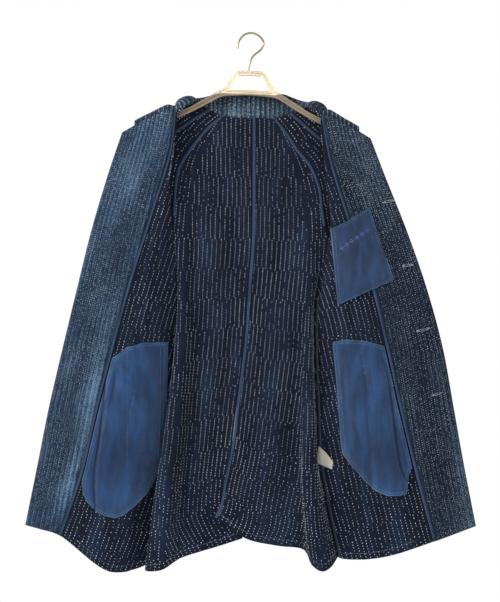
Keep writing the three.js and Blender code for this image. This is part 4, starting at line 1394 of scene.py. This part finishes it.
# %% Buttonholes on the wearer's left front
buttonholes = [((242.5, -313), (261.8, -309)), ((278, -430), (297, -427.3)),
               ((304.5, -549.5), (326.5, -544)), ((332, -668), (348.7, -663.2))]
HOLE_STITCHES = 46
HOLE_HALF_WIDTH = 1.5
hole_dark, tree, shader = new_finish("slit_shadow", 1.0)
speckled(tree, shader, own_space(tree), 400.0,
         [(0.002, 0.003, 0.006), (0.006, 0.008, 0.014)], (0, 1))
hole_thread = thread_finish("buttonhole_thread", (0.20, 0.22, 0.26), (0.55, 0.57, 0.60))
around = np.linspace(0, 2 * np.pi, HOLE_STITCHES, endpoint=False)
for k, (start, end) in enumerate(buttonholes):
    start, end = np.array(start), np.array(end)
    centre, half = (start + end) / 2, np.linalg.norm(end - start) / 2
    run = (end - start) / (2 * half)
    over = np.array([-run[1], run[0]])
    spots = (centre + np.outer(np.cos(around) * half, run)
             + np.outer(np.sin(around) * HOLE_HALF_WIDTH, over))
    point, normal, _ = laid(RIGHT, spots, FACING_HIGH + 0.25)
    outward = np.outer(np.cos(around), run) * 0.6 + np.outer(np.sin(around), over)
    stitch_mesh(f"buttonhole_{k + 1}_thread", point, in_cloth(RIGHT, outward, normal), normal,
                (2.2, 0.9, 0.6), hole_thread)
    slit = [tuple(centre + run * (half - 1.4) * c + over * 0.55 * s)
            for c, s in ((-1, 0), (-0.9, 1), (0.9, 1), (1, 0), (0.9, -1), (-0.9, -1))]
    cut_shape(f"buttonhole_{k + 1}_slit", RIGHT, slit, FACING_HIGH + 0.05, 0.2, [hole_dark],
              "worn_cloth")

# %% [markdown]
# ### Buttons
# Horn has long, soft streaks: a noise squeezed in one direction. The thread that holds a
# button is two long stitches across its face, made like all the others.

# %% Button finish and sewing
horn, tree, shader = new_finish("button_horn", 0.35)
streak = node(tree, "Mapping")
streak.inputs["Scale"].default_value = (1, 1, 5)
link(tree, own_space(tree), streak.inputs["Vector"])
grain = speckled(tree, shader, streak.outputs["Vector"], 120.0,
                 [(0.010, 0.012, 0.018), (0.045, 0.045, 0.05)], detail=4)
bump(tree, shader, grain, 0.15, 0.0003)
BUTTON_FACE = 1.1
for k in range(4):
    name = f"button_{k + 1}"
    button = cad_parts[name]
    button.data.materials.clear()
    button.data.materials.append(horn)
    low, high = (np.array(v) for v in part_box(name))
    centre = (low + high) / 2 * 1000 + [0, BUTTON_FACE, 0]
    along = [[math.cos(turn), 0, math.sin(turn)] for turn in (np.pi / 4, -np.pi / 4)]
    stitch_mesh(f"{name}_thread", np.array([centre] * 2), np.array(along),
                np.array([[0, 1, 0]] * 2), (6.4, 1.1, 0.9), faded_thread)

# %% [markdown]
# ## Hanger
# The body is one clear moulding: its frame solid is kept, with softened edges, and its
# finish lets only part of the light through, as thick clear plastic does against white.
# The hook is bent wire, swept as a curve of its real thickness.

# %% Clear body
clear_plastic, tree, shader = new_finish("clear_champagne", 0.1)
shader.inputs["Transmission Weight"].default_value = 0.65
shader.inputs["IOR"].default_value = 1.42
shader.inputs["Specular IOR Level"].default_value = 0.5
speckled(tree, shader, own_space(tree), 22.0, [(0.60, 0.49, 0.33), (0.82, 0.71, 0.54)],
         (0.25, 0.8))
bump(tree, shader, noise(tree, own_space(tree), 60.0, 2), 0.05, 0.0005)
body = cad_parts["hanger_body"]
body.data.materials.clear()
body.data.materials.append(clear_plastic)
soft = body.modifiers.new("soft_edges", "BEVEL")
soft.width, soft.segments, soft.limit_method = 0.0006, 2, "ANGLE"
print("body edges softened by", round(soft.width / MM, 1), "mm")

# %% [markdown]
# ### The hook
# A chain of cylinders could stand for bent wire, but it would show its corners. A curve
# with a round bevel stays smooth through every bend, and its points are the bends.

# %% Wire hook
wire, tree, shader = new_finish("gold_wire", 0.34)
shader.inputs["Metallic"].default_value = 1.0
shader.inputs["Specular IOR Level"].default_value = 0.5
speckled(tree, shader, own_space(tree), 140.0, [(0.36, 0.28, 0.18), (0.52, 0.42, 0.29)])
bump(tree, shader, noise(tree, own_space(tree), 500.0, 2), 0.05, 0.0002)

TILT = math.radians(2.2)
WIRE_RADIUS = 1.8
HOOK = [(-25, -28), (-22, -13), (-13, -2), (0, 1.8), (13, -2.5), (22, -12), (23, -19),
        (18, -29), (9, -36.5), (2.5, -44), (-1, -54), (-3.5, -68.5)]
x, z = smooth(HOOK, np.linspace(0, 1, 90)).T
line = np.stack([x * math.cos(TILT) + z * math.sin(TILT), 0 * x,
                 -x * math.sin(TILT) + z * math.cos(TILT)], 1)
curve = bpy.data.curves.new("hook_wire", "CURVE")
curve.dimensions, curve.bevel_depth, curve.bevel_resolution = "3D", WIRE_RADIUS * MM, 5
curve.use_fill_caps = True
bent = curve.splines.new("POLY")
bent.points.add(len(line) - 1)
for spot, place in zip(bent.points, line * MM):
    spot.co = (*place, 1)
hook = bpy.data.objects.new("hook_wire", curve)
bpy.context.collection.objects.link(hook)
hook.data.materials.append(wire)
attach(hook, "root")
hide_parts("hanger_hook")
print("wire:", round(run_along(line)[-1]), "mm long")

# %% [markdown]
# ## Floor, light and camera
# The photograph is a cut-out on white, lit softly from all round. A bright world, three
# large soft lamps and a pale floor give that, and the camera stands where it stood.

# %% World and floor
world = bpy.data.worlds.new("studio")
bpy.context.scene.world = world
world.use_nodes = True
glow = world.node_tree.nodes["Background"]
glow.inputs[0].default_value = (1.0, 1.0, 1.0, 1)
seen = world.node_tree.nodes.new("ShaderNodeLightPath")
bright = world.node_tree.nodes.new("ShaderNodeMapRange")
bright.inputs["To Min"].default_value, bright.inputs["To Max"].default_value = 0.55, 1.0
world.node_tree.links.new(seen.outputs["Is Camera Ray"], bright.inputs["Value"])
world.node_tree.links.new(bright.outputs["Result"], glow.inputs[1])
bpy.context.scene.view_settings.view_transform = "Standard"

FLOOR_HALF, FLOOR_LEVEL = 3, -1.75
corners = [(x * FLOOR_HALF, y * FLOOR_HALF, 0) for x, y in ((-1, -1), (1, -1), (1, 1), (-1, 1))]
floor_data = bpy.data.meshes.new("floor")
floor_data.from_pydata(corners, [], [(0, 1, 2, 3)])
floor = bpy.data.objects.new("floor", floor_data)
floor.location = (0, 0, FLOOR_LEVEL)
bpy.context.collection.objects.link(floor)
pale, tree, shader = new_finish("pale_floor", 0.9)
speckled(tree, shader, own_space(tree), 3.0, [(0.90, 0.90, 0.90), (0.94, 0.94, 0.94)], (0, 1))
floor_data.materials.append(pale)


# %% Lamps
def lamp(name, place, aim, size, watts):
    data = bpy.data.lights.new(name, "AREA")
    data.size, data.energy = size, watts
    light = bpy.data.objects.new(name, data)
    light.location = place
    light.rotation_euler = (Vector(aim) - Vector(place)).to_track_quat("-Z", "Y").to_euler()
    bpy.context.collection.objects.link(light)


MIDDLE = (0, 0, -0.5)
lamp("key", (-2.2, -1.5, 0.6), MIDDLE, 1.0, 60)
lamp("fill", (1.9, -2.2, 0.1), MIDDLE, 1.8, 16)
lamp("rear", (0.3, 2.6, 0.6), MIDDLE, 2.0, 30)
print("lamps:", len(bpy.data.lights))

# %% [markdown]
# ### Camera
# The lens is worked out from the photograph: 602 pixels high, 1.85 mm to a pixel at the
# jacket, seen straight on from 2.6 m.

# %% Camera
CAMERA_AWAY = 2.6
PIXEL, PHOTO_HEIGHT = 1.85, 602
SENSOR = 36
camera_data = bpy.data.cameras.new("camera")
camera_data.sensor_fit = "VERTICAL"
camera_data.sensor_height = SENSOR
camera_data.lens = SENSOR * CAMERA_AWAY / (PHOTO_HEIGHT * PIXEL * MM)
camera = bpy.data.objects.new("camera", camera_data)
camera.location = (-0.0028, -CAMERA_AWAY, -0.494)
camera.rotation_euler = (math.pi / 2, 0, 0)
bpy.context.collection.objects.link(camera)
bpy.context.scene.camera = camera
print("lens:", round(camera_data.lens, 1))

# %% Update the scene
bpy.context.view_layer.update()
